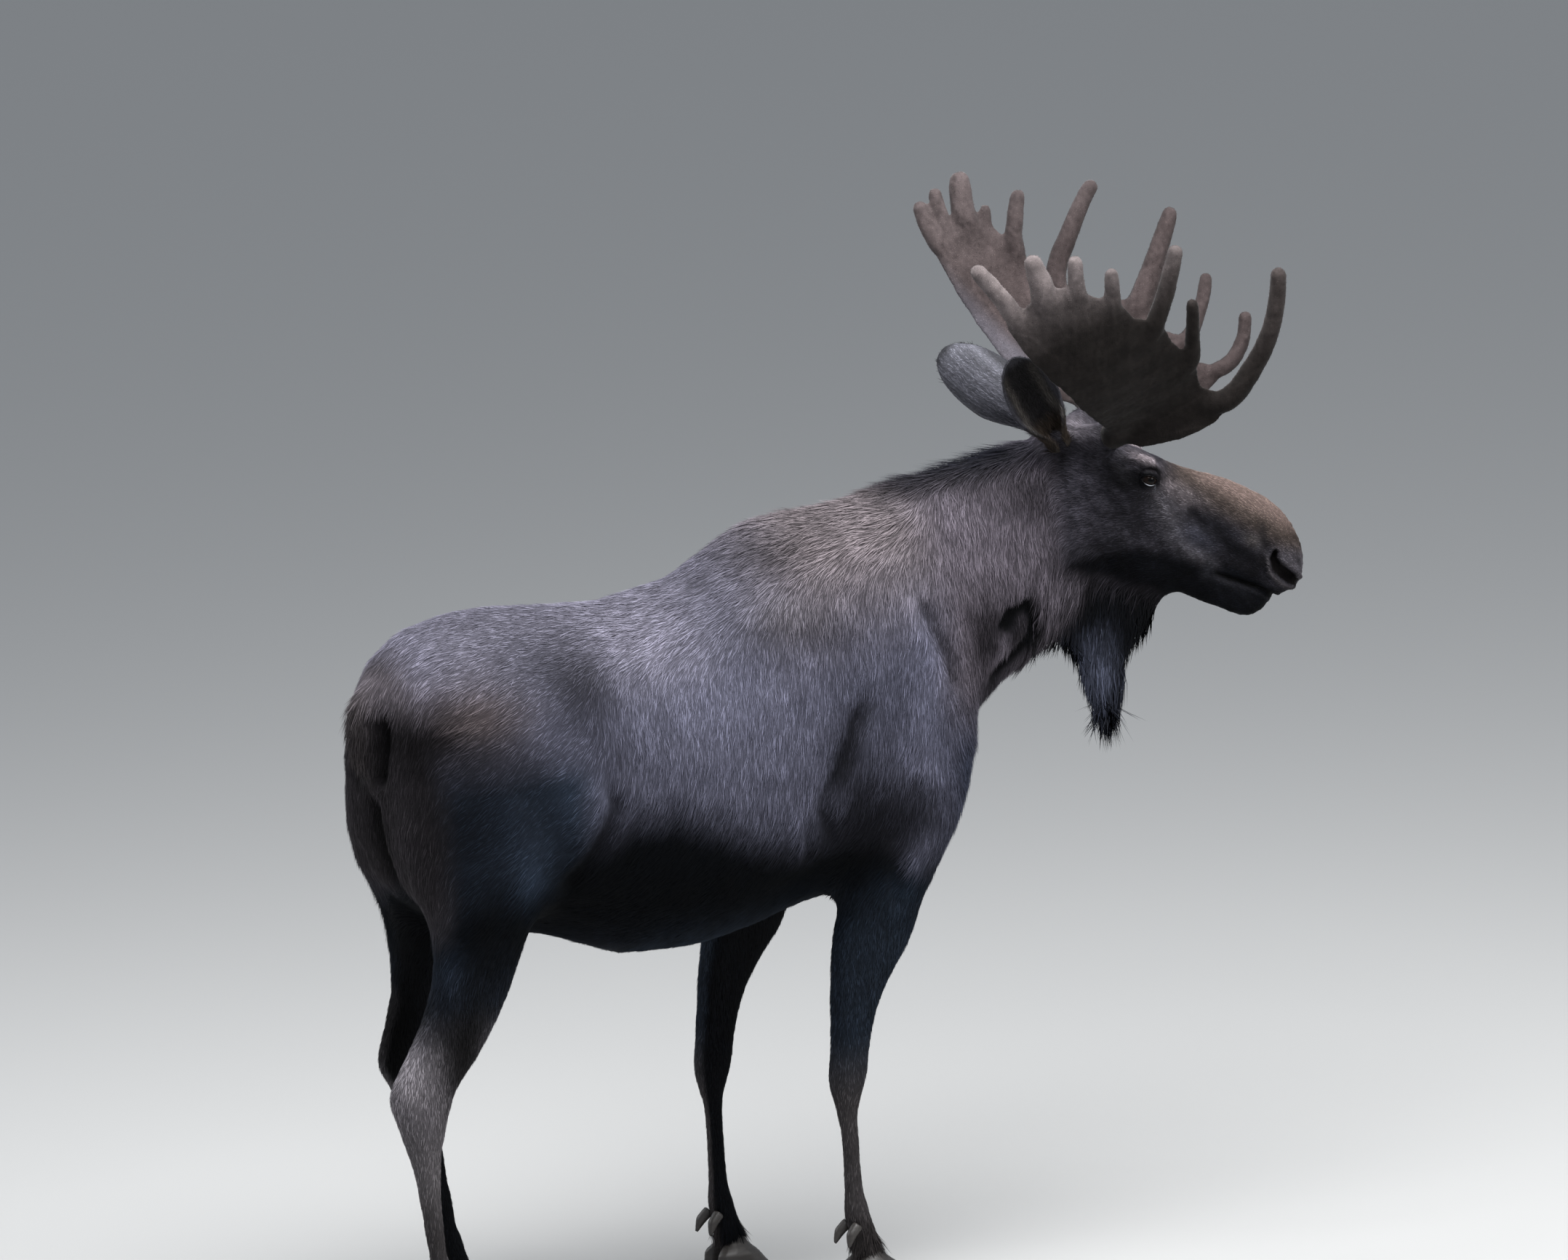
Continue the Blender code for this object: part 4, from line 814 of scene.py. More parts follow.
def head_fields(fields, head, face):
    """Adds the head's short coat: it runs back from the nose and round the eye."""
    sides = mirrored(head)
    side_view = sides[:, (0, 2)]
    x, z = side_view.T
    lie = layered(np.tile((-1.0, 0.0, -0.1), (len(head), 1)), (
        ((-0.85, 0, -0.45), ramp(z, 0.02, -0.1) * ramp(x, 0.6, 0.45)),
        ((-0.8, 0, -0.6), ramp(z, -0.12, -0.19)),
        ((-0.5, 0, -0.85), ramp(z, -0.17, -0.22) * ramp(x, 0.5, 0.4)),
    ))
    around = bump(np.linalg.norm(sides - EYE_IN_HEAD, axis=1), 0.045)
    lie += 1.2 * around[:, None] * unit((sides - EYE_IN_HEAD) * (1, 0, 1) + (-0.004, 0, 0))
    gap, place = along_path(side_view, CHEEKBONE_HIGHLIGHT)
    cheekbone_highlight = bump(gap, np.interp(place, (0, 0.25, 1), (0.016, 0.028, 0.022)))
    gap, place = along_path(side_view, NOSE_HOLLOW_SHADE)
    nose_shade = bump(gap, mix(0.018, 0.028, place))
    tint = layered(np.tile((0.027, 0.0255, 0.032), (len(head), 1)), (
        ((0.062, 0.048, 0.042), ramp(z, -0.005, 0.05) * ramp(x, 0.26, 0.34)),
        ((0.178, 0.13, 0.116), ramp(z, 0.045, 0.09) * ramp(x, 0.28, 0.42) * ramp(x, 0.7, 0.62)),
        ((0.044, 0.041, 0.052), near(sides, (0.11, 0.1, -0.06), (0.06, 0.05, 0.07))),
        ((0.044, 0.041, 0.052), near(side_view, (0.165, -0.15), (0.05, 0.06))),
        # painted highlight on the brow ridge
        ((0.25, 0.216, 0.232), near(sides, (0.218, 0.092, 0.06), (0.034, 0.05, 0.018))),
        ((0.185, 0.16, 0.172), 0.8 * near(sides, (0.34, 0.064, 0.016), (0.065, 0.05, 0.024))),
        ((0.115, 0.104, 0.118), near(head, (0.06, -0.03, 0.048), (0.05, 0.11, 0.035))),
        # painted highlight along the cheekbone, widened below
        ((0.108, 0.101, 0.115), 0.85 * cheekbone_highlight),
        ((0.072, 0.073, 0.098), 0.8 * near(side_view, (0.425, -0.052), (0.05, 0.026))),
        # painted shade below the jaw line and under the cheek
        ((0.0022, 0.0025, 0.004), ramp(z - np.interp(x, *JAW_LINE), 0.022, -0.022)),
        ((0.006, 0.007, 0.01), 0.8 * near(side_view, (0.36, -0.165), (0.07, 0.022))),
        # painted shade in the hollows of the nose and muzzle
        ((0.006, 0.006, 0.008), 0.92 * nose_shade),
        ((0.012, 0.011, 0.012), 0.7 * bump(along_path(side_view, MUZZLE_HOLLOW_SHADE)[0], 0.011)),
        # painted highlight on the cheek of the nostril
        ((0.064, 0.057, 0.056), 0.85 * near(side_view, (0.546, 0.003), (0.02, 0.014))),
        ((0.115, 0.106, 0.122), 0.8 * near(side_view, (0.668, 0.006), (0.045, 0.026))),
        ((0.17, 0.158, 0.175), 0.7 * near(side_view, (0.708, -0.018), (0.018, 0.034))),
    ))
    tint = tint * (1 - 0.55 * near(side_view, (0.18, -0.01), (0.045, 0.042)))[:, None]
    tint = tint * (1 - 0.7 * near(sides, (0.048, 0.095, -0.05), (0.036, 0.05, 0.036)))[:, None]
    seen, outer = beside_eye(sides)
    round_eye = np.hypot((seen[:, 0] + 0.004) / 0.032, (seen[:, 1] - 0.003) / 0.0195)
    tint = layered(tint, (
        # the dark bare skin round the eye, darkened further as painted shade under the brow
        ((0.0035, 0.0035, 0.0045), bump(round_eye, 1, 4) * outer),
        ((0.004, 0.004, 0.005), 0.9 * near(seen, (-0.042, -0.014), (0.046, 0.03)) * outer),
        # painted shade in the fold in front of the eye
        ((0.01, 0.009, 0.01), 0.8 * bump(along_path(seen, FRONT_FOLD)[0], 0.006) * outer),
        ((0.15, 0.155, 0.18), 0.8 * bump(along_path(seen, TEAR_LINE)[0], 0.0016) * outer),
        ((0.0035, 0.004, 0.006), ramp(z, -0.062, -0.085) * ramp(x, 0.5, 0.54)),
    ))
    patchy = 0.26 * waves(head * (1, 1, 1.5), 0.045, 12) + 0.16 * waves(head, 0.014, 13)
    tint = tint * np.exp(patchy * ramp(z, 0.09, 0.03))[:, None]
    reach = nostril_reach(sides)
    gap, _ = along_path(side_view, MOUTH)
    front = ramp(x, 0.5, 0.512)
    tint = layered(tint, (
        ((0.075, 0.068, 0.074), 0.8 * bump(reach - 1.7, 0.4) * ramp(z, 0.01, -0.03)),
        ((0.0075, 0.0062, 0.0065), ramp(reach, 1.25, 0.85)),
        # painted highlight on the fold under the mouth, and painted shade in the slit of the mouth
        ((0.022, 0.022, 0.027), 0.7 * bump(gap - 0.012, 0.007) * front * (z < -0.1)),
        ((0.003, 0.003, 0.003), 0.85 * ramp(gap, 0.0075, 0.003) * front),
        ((0.03, 0.031, 0.038), 0.6 * near(side_view, (0.492, -0.108), (0.014, 0.024))),
    ))
    length = mix(0.016, 0.0095, ramp(x, 0.1, 0.35))
    length = mix(length, 0.006, ramp(x, 0.45, 0.62))
    length = mix(length, 0.024, ramp(z, -0.15, -0.21) * ramp(x, 0.5, 0.3))
    length = length * (1 - 0.45 * around)
    ear_base = near(sides, EAR_ROOT, (0.055, 0.045, 0.045))
    blend(fields, face, lie=lie @ TURN.T, length=mix(length, 0.034, ear_base),
          width=mix(0.0021, 0.0015, ramp(x, 0.2, 0.5)), lift=mix(0.27, 0.5, ear_base), tint=tint, light=0.34,
          stray=0.14, ruffle=0.8)


# ---------------------------------------------------------------- tufts
SPIKE, LOCK = 4, 10  # kinds of tuft, by their triangles
PATCH_RADIUS = 0.0015  # of a tuft's patch on the map


class Skin(Surface):
    """A surface with its map, where tufts can grow."""

    def __init__(self, mesh):
        super().__init__(mesh)
        self.outward = self.normals()
        self.areas = np.linalg.norm(self.face_vectors(), axis=1) / 2
        self.places = read(mesh.uv_layers["OFBake"].data, "uv", 2)[read(mesh.loop_triangles, "loops", 3, int)]
        self.centres = self.points[self.triangles].mean(1)

    def roots(self, density, count, rng):
        """Evenly scattered roots: point, normal and place on the unwrap."""
        weights = np.cumsum(self.areas * density)
        at = (np.arange(count) + rng.uniform(0, 1, count)) / count * weights[-1]
        face = np.minimum(np.searchsorted(weights, at), len(weights) - 1)
        a, b = rng.uniform(0, 1, (2, count))
        over = a + b > 1
        a[over], b[over] = 1 - a[over], 1 - b[over]
        share = np.stack([1 - a - b, a, b], 1)[:, :, None]
        corners = self.triangles[face]
        points = (self.points[corners] * share).sum(1)
        normals = unit((self.outward[corners] * share).sum(1))
        return points, normals, (self.places[face] * share).sum(1)


def laid_flat(lie, normals, turn):
    """The lie of the coat along the surface, turned by an angle about the normal."""
    flat = unit(lie - normals * (lie * normals).sum(1, keepdims=True))
    side = np.cross(normals, flat)
    return unit(flat * np.cos(turn)[:, None] + side * np.sin(turn)[:, None])


def grow(name, kind, roots, fields, rng, droop=0.0, curl=0.12, ends=(0.52, 1.22)):
    """One mesh of closed tufts. Each is painted from a dark root to a lighter tip."""
    points, normals, places = roots
    count = len(points)
    ruffle = 0.16 * waves(points, 0.1, 21) + 0.1 * waves(points, 0.03, 22)
    turn = fields["stray"] * rng.normal(size=count) + fields["ruffle"] * ruffle
    lie = laid_flat(fields["lie"], normals, turn)
    side = np.cross(normals, lie)
    length = fields["length"] * rng.uniform(0.7, 1.2, count) * (1 + 0.16 * waves(points, 0.07, 23))
    half = fields["width"] * rng.uniform(0.35, 0.62, count)
    lift = fields["lift"] * rng.uniform(0.35, 1.15, count)
    root = points - normals * (0.0002 + 0.025 * length)[:, None]
    tip = root + (lie * np.cos(lift)[:, None] + normals * np.sin(lift)[:, None]) * length[:, None]
    tip[:, 2] -= droop * length
    wide, thick = side * half[:, None], normals * (0.75 * half)[:, None]
    rings = [(root + wide, root - wide, root + thick)]
    if kind == LOCK:
        bend = side * (curl * length * rng.normal(size=count))[:, None]
        waist = root * 0.52 + tip * 0.48 + normals * (0.05 * length)[:, None] + bend
        waist[:, 2] += 0.3 * droop * length
        rings.append((waist + 0.85 * wide, waist - 0.85 * wide, waist + 0.85 * thick))
    corners = [corner for ring in rings for corner in ring] + [tip]
    per = len(corners)
    vertices = np.stack(corners, 1).reshape(-1, 3)
    faces = [(0, 1, 2)]
    top = 0
    if kind == LOCK:
        faces += [(0, 2, 5), (0, 5, 3), (2, 1, 4), (2, 4, 5), (1, 0, 3), (1, 3, 4)]
        top = 3
    faces += [(top, top + 2, per - 1), (top + 2, top + 1, per - 1), (top + 1, top, per - 1)]
    faces = (np.array(faces)[None] + per * np.arange(count)[:, None, None]).reshape(-1, 3)
    leaning = [normals + 0.8 * side, normals - 0.8 * side, normals] * len(rings) + [normals + 0.3 * lie]
    mesh = tuft_mesh(name, vertices, faces, unit(np.stack(leaning, 1).reshape(-1, 3)))
    shade = fields["tint"] * tone(fields["light"], points, count, rng)[:, None]
    steps = [ends[0]] * 3 + ([sum(ends) / 2] * 3 if kind == LOCK else []) + [ends[1]]
    paint(mesh, (shade[:, None, :] * np.array(steps)[None, :, None]).reshape(-1, 3))
    patch_map(mesh, places, per, faces)
    return mesh


def tone(light, points, count, rng):
    """How bright each tuft is: most are plain, some are pale, and they gather in streaks."""
    pale = rng.uniform(0, 1, count) < light * (1 + 0.3 * waves(points, 0.05, 31))
    plain = rng.uniform(0.52, 1.05, count)
    return np.where(pale, rng.uniform(1.2, 2.1, count), plain) * (1 + 0.1 * waves(points, 0.12, 32))


def tuft_mesh(name, vertices, faces, normals):
    mesh = bpy.data.meshes.new(name)
    mesh.vertices.add(len(vertices))
    mesh.vertices.foreach_set("co", vertices.ravel())
    mesh.loops.add(len(faces) * 3)
    mesh.loops.foreach_set("vertex_index", faces.ravel().astype(np.int32))
    mesh.polygons.add(len(faces))
    mesh.polygons.foreach_set("loop_start", np.arange(0, len(faces) * 3, 3, dtype=np.int32))
    mesh.update(calc_edges=True)
    shade_smooth(mesh)
    mesh.normals_split_custom_set_from_vertices(normals)
    return mesh


def patch_map(mesh, places, per, faces):
    """Lays each tuft out as a small patch at its root's place on the skin's unwrap."""
    layer = mesh.uv_layers.new(name="OFBake")
    turns = np.linspace(0, 2 * math.pi, per, endpoint=False)
    patch = np.stack([np.cos(turns), np.sin(turns)], 1) * PATCH_RADIUS
    spots = (np.clip(places, 0.002, 0.998)[:, None] + patch[None]).reshape(-1, 2)
    layer.data.foreach_set("uv", spots[faces.ravel()].ravel())


# ---------------------------------------------------------------- materials
def new_material(name, roughness, **sockets):
    made = bpy.data.materials.new(name)
    made.use_nodes = True
    shader = made.node_tree.nodes["Principled BSDF"]
    shader.inputs["Roughness"].default_value = roughness
    for socket, value in sockets.items():
        shader.inputs[socket.replace("_", " ")].default_value = value
    return made


def add_node(made, kind, **values):
    node = made.node_tree.nodes.new(kind)
    for name, value in values.items():
        target = node.inputs.get(name.replace("_", " "))
        if target is None:
            setattr(node, name, value)
        else:
            target.default_value = value
    return node


def link(made, source, output, target, socket):
    made.node_tree.links.new(source.outputs[output], target.inputs[socket])


def tinted(name, roughness, grain, amount, rough=0.0, stretch=(1, 1, 1), **sockets):
    """The painted colour with a fine grain over it, and a bump of the same grain."""
    made = new_material(name, roughness, **sockets)
    shader = made.node_tree.nodes["Principled BSDF"]
    paint_node = add_node(made, "ShaderNodeVertexColor", layer_name="Tint")
    place = add_node(made, "ShaderNodeTexCoord")
    mapping = add_node(made, "ShaderNodeMapping", Scale=stretch)
    noise = add_node(made, "ShaderNodeTexNoise", Scale=grain, Detail=4.0, Roughness=0.6)
    spread = add_node(made, "ShaderNodeMapRange", To_Min=1 - amount, To_Max=1 + amount)
    scale = add_node(made, "ShaderNodeVectorMath", operation="SCALE")
    link(made, place, "Object", mapping, "Vector")
    link(made, mapping, "Vector", noise, "Vector")
    link(made, noise, "Fac", spread, "Value")
    link(made, paint_node, "Color", scale, 0)
    link(made, spread, "Result", scale, "Scale")
    link(made, scale, "Vector", shader, "Base Color")
    if rough:
        relief = add_node(made, "ShaderNodeBump", Strength=rough, Distance=0.002)
        link(made, noise, "Fac", relief, "Height")
        link(made, relief, "Normal", shader, "Normal")
    return made


def piece(name, mesh, made, replaced=()):
    obj = put(name, mesh)
    mesh.materials.clear()
    mesh.materials.append(made)
    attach(obj, "root")
    if replaced:
        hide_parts(*replaced)
    return obj


def dress(name, mesh, made, replaced, tint):
    """A smooth piece with its map and its painted colours."""
    obj = piece(name, mesh, made, replaced)
    shade_smooth(mesh)
    unwrap(obj)
    paint(mesh, tint)


def dress_with_hair(name, hair_name, mesh, looks, slot, replaced, fields_at, shade_under_coat, count, seed, **options):
    """A surface painted with its coat's colour dimmed, as painted shade under the hair, and the coat itself
    as a second piece.
    """
    surface = Surface(mesh)
    dress(name, mesh, looks[0], replaced, fields_at(surface.points, surface.normals())["tint"] * shade_under_coat)
    ground = Skin(mesh)
    rng = np.random.default_rng(seed)
    roots = ground.roots(np.ones(len(ground.areas)), count, rng)
    piece(hair_name, grow(hair_name, SPIKE, roots, fields_at(*roots[:2]), rng, **options), looks[1])


HAIR = tinted("hair", 0.6, 900.0, 0.25, Specular_IOR_Level=0.08)
SOFT = {"Specular_IOR_Level": 0.05, "Sheen_Weight": 0.08, "Sheen_Roughness": 0.4}
FUZZ = tinted("fuzz", 0.85, 900.0, 0.2, **SOFT)
VELVET = tinted("velvet", 0.85, 420.0, 0.35, rough=0.5, **SOFT)
SKIN_HAIR = tinted("skin_under_the_coat", 0.75, 260.0, 0.45, rough=0.6, stretch=(1, 1, 0.35),
                   Specular_IOR_Level=0.06)
EAR_SKIN = tinted("ear_skin", 0.7, 300.0, 0.35, rough=0.4, Specular_IOR_Level=0.25)
HORN_LOOK = tinted("horn_of_the_hooves", 0.42, 220.0, 0.3, rough=0.25, stretch=(1, 1, 3),
                   Specular_IOR_Level=0.5)
EYEBALL = new_material("eyeball", 0.03, Specular_IOR_Level=0.11)
link(EYEBALL, add_node(EYEBALL, "ShaderNodeVertexColor", layer_name="Tint"), "Color",
     EYEBALL.node_tree.nodes["Principled BSDF"], "Base Color")


# ---------------------------------------------------------------- skin and coat
skin_mesh = build_skin()
skin_surface = Surface(skin_mesh)
skin_fields = coat_fields(skin_surface.points, skin_surface.normals())
# the skin is painted at half the coat's colour, as painted shade between the tufts
dress("skin", skin_mesh, SKIN_HAIR, FLESH, skin_fields["tint"] * 0.5)
skin = Skin(skin_mesh)


def coat_piece(name, density, count, seed, kind=SPIKE, **options):
    rng = np.random.default_rng(seed)
    roots = skin.roots(density, count, rng)
    mesh = grow(name, kind, roots, coat_fields(*roots[:2]), rng, **options)
    piece(name, mesh, HAIR)


centre_head = to_head(skin.centres)
centre_side = mirrored(centre_head)
along, _, height = skin.centres.T
on_bell = bell_share(centre_head)
bare = (np.linalg.norm(centre_side - EYE_IN_HEAD, axis=1) < 0.021) | (nostril_reach(centre_side) < 0.95)
furred_head = head_share(centre_head) * ~bare
furred_trunk = body_share(centre_head) * ramp(height, 0.6, 0.8)
quarters = {
    "coat_hindquarters": along < -0.62,
    "coat_barrel_rear": (along >= -0.62) & (along < -0.22),
    "coat_shoulders": (along >= -0.22) & (along < 0.16),
    "coat_neck": along >= 0.16,
}
for seed, (name, zone) in enumerate(quarters.items()):
    coat_piece(name, furred_trunk * zone, 46000, seed=40 + seed)
furred_legs = (height < 0.95) & (height > 0.092) & (on_bell < 0.5)
coat_piece("coat_legs", furred_legs * (1 + 2.0 * ramp(height, 0.17, 0.12)), 47000, seed=50)
muzzle = centre_head[:, 0] > 0.2
coat_piece("coat_head", furred_head * ~muzzle, 32000, seed=51)
fine = 1 + 1.2 * ramp(centre_head[:, 0], 0.35, 0.6)
coat_piece("coat_head_muzzle", furred_head * muzzle * fine, 38000, seed=53)
coat_piece("coat_bell", on_bell, 4600, kind=LOCK, seed=52, droop=0.1, curl=0.06)


# ---------------------------------------------------------------- ears
EAR_WIDEST = 0.48  # how far up the ear it is widest
EAR_INSET = 0.0035
EAR_WALL = 0.0022
# The way from root to tip, the way the hollow faces, the half-width, and the colour of its back, lighter on
# the left ear as painted light
EARS = {
    "right": ((-0.207, -0.098, 0.118), (0.28, -0.95, -0.1), 0.064, (0.062, 0.061, 0.075)),
    # the left ear's back is painted lighter, as painted light from the sky
    "left": ((-0.271, 0.094, 0.028), (0.18, 0.9, 0.36), 0.08, (0.112, 0.112, 0.134)),
}


def ear_axes(side):
    """Root and length of the ear, and its ways to the tip, out of the hollow and across."""
    reach, face = np.array(EARS[side][0]), np.array(EARS[side][1])
    length = np.linalg.norm(reach)
    aim = reach / length
    face = unit(face - (face @ aim) * aim)
    return np.array(EAR_ROOT) * (1, SIDES[side], 1), length, aim, face, np.cross(aim, face)


def ear_mesh(side):
    """A thin cupped leaf of skin, closed round its edge."""
    seat, length, aim, face, across = ear_axes(side)
    t = np.linspace(-0.06, 1, 60)[:, None]
    rising = 0.48 + 0.52 * ramp(t, 0, EAR_WIDEST)
    taper = np.sqrt(np.clip(1 - (np.clip(t - EAR_WIDEST, 0, None) / 0.525) ** 2.3, 0, 1))
    width = np.maximum(EARS[side][2] * np.where(t > EAR_WIDEST, taper, rising) - EAR_INSET, 0.0015)
    opening = np.radians(160 - 75 * ramp(t, 0, 0.42))
    radius = width / np.sin(np.minimum(opening, math.pi / 2))
    turn = opening * np.linspace(-1, 1, 61)[None]
    cup = radius * (np.cos(turn) - 0.3) * (1 - 0.35 * np.clip(t, 0, 1))
    spine = seat + aim * (np.clip(t, -0.06, 1 - 0.4 * EAR_INSET / length) * length)[:, :, None]
    grid = spine - face * cup[:, :, None] + across * (radius * np.sin(turn))[:, :, None]
    wall = EAR_WALL * unit(np.cross(np.gradient(grid, axis=0), np.gradient(grid, axis=1)))
    bm = bmesh.new()
    add_shell(bm, [from_head(grid + wall), from_head(grid - wall)])
    bmesh.ops.recalc_face_normals(bm, faces=bm.faces)
    return finished(bm, side + "_ear_skin")


def ear_fields(side, points, normals):
    seat, length, aim, face, across = ear_axes(side)
    half, outside = EARS[side][2:]
    local = to_head(points) - seat
    t = np.clip(local @ aim / length, 0, 1)
    inner = (normals @ TURN) @ face > 0
    off = np.abs(local @ across)
    rim = ramp(off, 0.62 * half, 0.95 * half)
    edge = np.maximum(ramp(off, 0.66 * half, 0.9 * half), ramp(t, 0.8, 0.95))
    border = np.maximum(ramp(off, 0.76 * half, 0.98 * half), ramp(t, 0.9, 0.99))
    fringe = inner * bump(off / half - 0.6, 0.16) * ramp(t, 0.95, 0.7)
    tint = layered(np.tile(outside, (len(points), 1)), (
        ((0.012, 0.011, 0.012), inner * (1 - 0.5 * rim)),
        ((0.08, 0.072, 0.066), 0.75 * fringe * ramp(t, 0.1, 0.3)),
        ((0.045, 0.033, 0.024), 0.6 * inner * ramp(t, 0.22, 0.1)),
        (np.array(outside) * 0.8, 0.8 * edge * inner),
    ))
    streaks = waves(np.stack([off / 0.012, t * 1.2, 0 * t], 1), 1.0, 55)
    tint = tint * np.exp(np.where(inner, 0.0, 0.32) * streaks)[:, None]
    tint = tint * (1 - 0.72 * border * ~inner)[:, None]
    lie = aim + across * (np.sign(local @ across) * 0.2 * rim)[:, None]
    return even_fields(len(points), stray=0.22, ruffle=1.0) | {
        "lie": lie @ TURN.T,
        "length": mix(np.where(inner, 0.026, 0.012) * (1 - 0.35 * t), 0.0065, edge),
        "width": np.where(inner, 0.0017, 0.0023),
        "lift": mix(np.where(inner, 0.34, 0.16), 0.06, edge),
        "tint": tint,
        "light": np.where(inner, 0.45, 0.35),
    }


for ear_side, ear_sign in SIDES.items():
    dress_with_hair(ear_side + "_ear_leaf", ear_side + "_ear_coat", ear_mesh(ear_side), (EAR_SKIN, HAIR),
                    "face_hair", [ear_side + "_ear"], partial(ear_fields, ear_side), 0.6, 7500,
                    70 + int(ear_sign))


# ---------------------------------------------------------------- antlers
BURR = (0.11, 0.135, 0.068)
PEDICLE_ROOT = (0.08, 0.055, 0.012)
PEDICLE_RADIUS = 0.04
ANTLER_STANDOFF = 0.4
ANTLER_SETTLING = 0.2
STANDOFF_SHARES = ((20.0, 0.45), (60.0, 0.5), (95.0, 0.8), (125.0, 1.0), (145.0, 1.02), (165.0, 0.92))
PALM_HALF_THICKNESS = (0.015, 0.0105)
VELVET_DEPTH = 0.0022
ANTLER_VOXEL = 0.005
TINE_THICKEST = 0.34  # how far along it a tine is thickest
# Root, waist and tip, each as the angle round the burr from the front in degrees and the distance from it,
# then the radius where it is thickest and at its tip
TINES = {
    "right": {
        "rear": ((159.8, 0.44), (159.3, 0.51), (159.5, 0.592), 0.026, 0.022),
        "second": ((149.5, 0.44), (148.5, 0.49), (147.9, 0.538), 0.034, 0.024),
        "third": ((140.0, 0.415), (139.0, 0.46), (137.9, 0.498), 0.023, 0.02),
        "fourth": ((129.0, 0.365), (128.8, 0.41), (128.5, 0.445), 0.022, 0.019),
        "fifth": ((111.0, 0.3), (109.6, 0.396), (109.5, 0.49), 0.025, 0.021),
        "sixth": ((83.0, 0.235), (92.5, 0.312), (98.6, 0.376), 0.022, 0.017),
        "brow": ((52.0, 0.25), (62.8, 0.372), (79.6, 0.534), 0.03, 0.021),
    },
    "left": {
        "rear": ((160.0, 0.465), (158.9, 0.52), (157.5, 0.562), 0.024, 0.021),
        "second": ((155.8, 0.475), (154.2, 0.525), (152.6, 0.566), 0.022, 0.019),
        "third": ((149.5, 0.465), (147.6, 0.52), (145.8, 0.56), 0.032, 0.027),
        "fourth": ((145.8, 0.42), (144.4, 0.45), (143.0, 0.474), 0.019, 0.016),
        "fifth": ((138.8, 0.365), (135.6, 0.43), (133.0, 0.479), 0.025, 0.02),
        "sixth": ((126.3, 0.262), (118.4, 0.385), (112.9, 0.491), 0.028, 0.021),
        "brow_upper": ((85.4, 0.262), (88.2, 0.388), (90.5, 0.489), 0.032, 0.021),
        "brow_middle": ((59.5, 0.285), (65.6, 0.362), (71.6, 0.42), 0.021, 0.018),
        "brow_lower": ((42.0, 0.345), (47.8, 0.41), (55.2, 0.444), 0.022, 0.018),
    },
}
# Angle and distance of the palm's rim
PALM_RIM = {
    "right": (
        (2.0, 0.055), (21.6, 0.104), (33.2, 0.165), (44.0, 0.24), (52.0, 0.27), (66.8, 0.231),
        (83.0, 0.262), (97.8, 0.276), (110.0, 0.32), (120.1, 0.332), (129.0, 0.39), (134.1, 0.402),
        (140.0, 0.44), (143.9, 0.457), (149.5, 0.468), (156.3, 0.458), (160.0, 0.47), (163.4, 0.45),
        (166.4, 0.33), (168.9, 0.17), (178.0, 0.04),
    ),
    "left": (
        (0.0, 0.07), (12.0, 0.15), (24.0, 0.23), (34.0, 0.31), (41.0, 0.35), (50.5, 0.29),
        (59.0, 0.3), (70.0, 0.268), (85.0, 0.285), (107.0, 0.222), (124.0, 0.27), (134.0, 0.3),
        (141.5, 0.41), (145.3, 0.47), (149.5, 0.49), (152.9, 0.5), (155.5, 0.508), (160.2, 0.5),
        (165.1, 0.4), (172.1, 0.275), (178.0, 0.21), (188.0, 0.15), (200.0, 0.095),
    ),
}


def antler_point(side, angle, reach, lift=0.0):
    """A point of the antler in the head frame. lift moves it out of the palm's middle surface."""
    angles, shares = zip(*STANDOFF_SHARES)
    share = float(np.interp(angle, angles, shares))
    out = BURR[1] + ANTLER_STANDOFF * share * (1 - math.exp(-reach / ANTLER_SETTLING)) + lift
    turn = math.radians(angle)
    return np.array((BURR[0] + reach * math.cos(turn), SIDES[side] * out, BURR[2] + reach * math.sin(turn)))


def add_tine(bm, side, root, waist, tip, thick, thin):
    """A round-ended tine that swells out of the palm."""
    start = (root[0], root[1] - 0.075)
    shares = np.linspace(0, 1, 21)
    path = smooth_rows([0.0, 0.3, 0.65, 1.0], [start, root, waist, tip], shares)
    swell = PALM_HALF_THICKNESS[1] + (thick - PALM_HALF_THICKNESS[1]) * ramp(shares, 0, TINE_THICKEST)
    body = thick + (thin - thick) * (shares - TINE_THICKEST) / (1 - TINE_THICKEST)
    radii = list(np.where(shares < TINE_THICKEST, swell, body) - VELVET_DEPTH)
    points = [Vector(antler_point(side, angle, reach)) for angle, reach in path]
    ahead = (points[-1] - points[-2]).normalized()
    end, thin = points[-1], thin - VELVET_DEPTH
    for step, share in ((0.3, 0.95), (0.58, 0.81), (0.8, 0.58), (0.93, 0.33)):
        points.append(end + ahead * thin * step)
        radii.append(thin * share)
    add_tube(bm, [HEAD_POSE @ p for p in points], radii, 24)


def add_palm(bm, side):
    """The sheet of the palm, as a closed shell that thins towards its rim."""
    rim = np.array(PALM_RIM[side])
    angles = np.linspace(rim[0, 0], rim[-1, 0], 150)
    reaches = smooth_rows(rim[:, 0], rim[:, 1:], angles)[:, 0] - VELVET_DEPTH
    near_half, rim_half = PALM_HALF_THICKNESS

    def place(angle, reach, t, shift):
        thick = (near_half + (rim_half - near_half) * t - VELVET_DEPTH) * (1 if t < 1 else 0.6)
        return HEAD_POSE @ Vector(antler_point(side, angle, 0.02 + (reach - 0.02) * t, shift * thick))

    shares = [j / 13 for j in range(14)]
    add_shell(bm, [[[place(angle, reach, t, shift) for t in shares] for angle, reach in zip(angles, reaches)]
                   for shift in (-1, 1)])


def antler_angle(head):
    """The angle round the burr, in degrees from the front."""
    return (np.degrees(np.arctan2(head[:, 2] - BURR[2], head[:, 0] - BURR[0])) + 90) % 360 - 90


def antler_reach(head):
    return np.hypot(head[:, 0] - BURR[0], head[:, 2] - BURR[2])


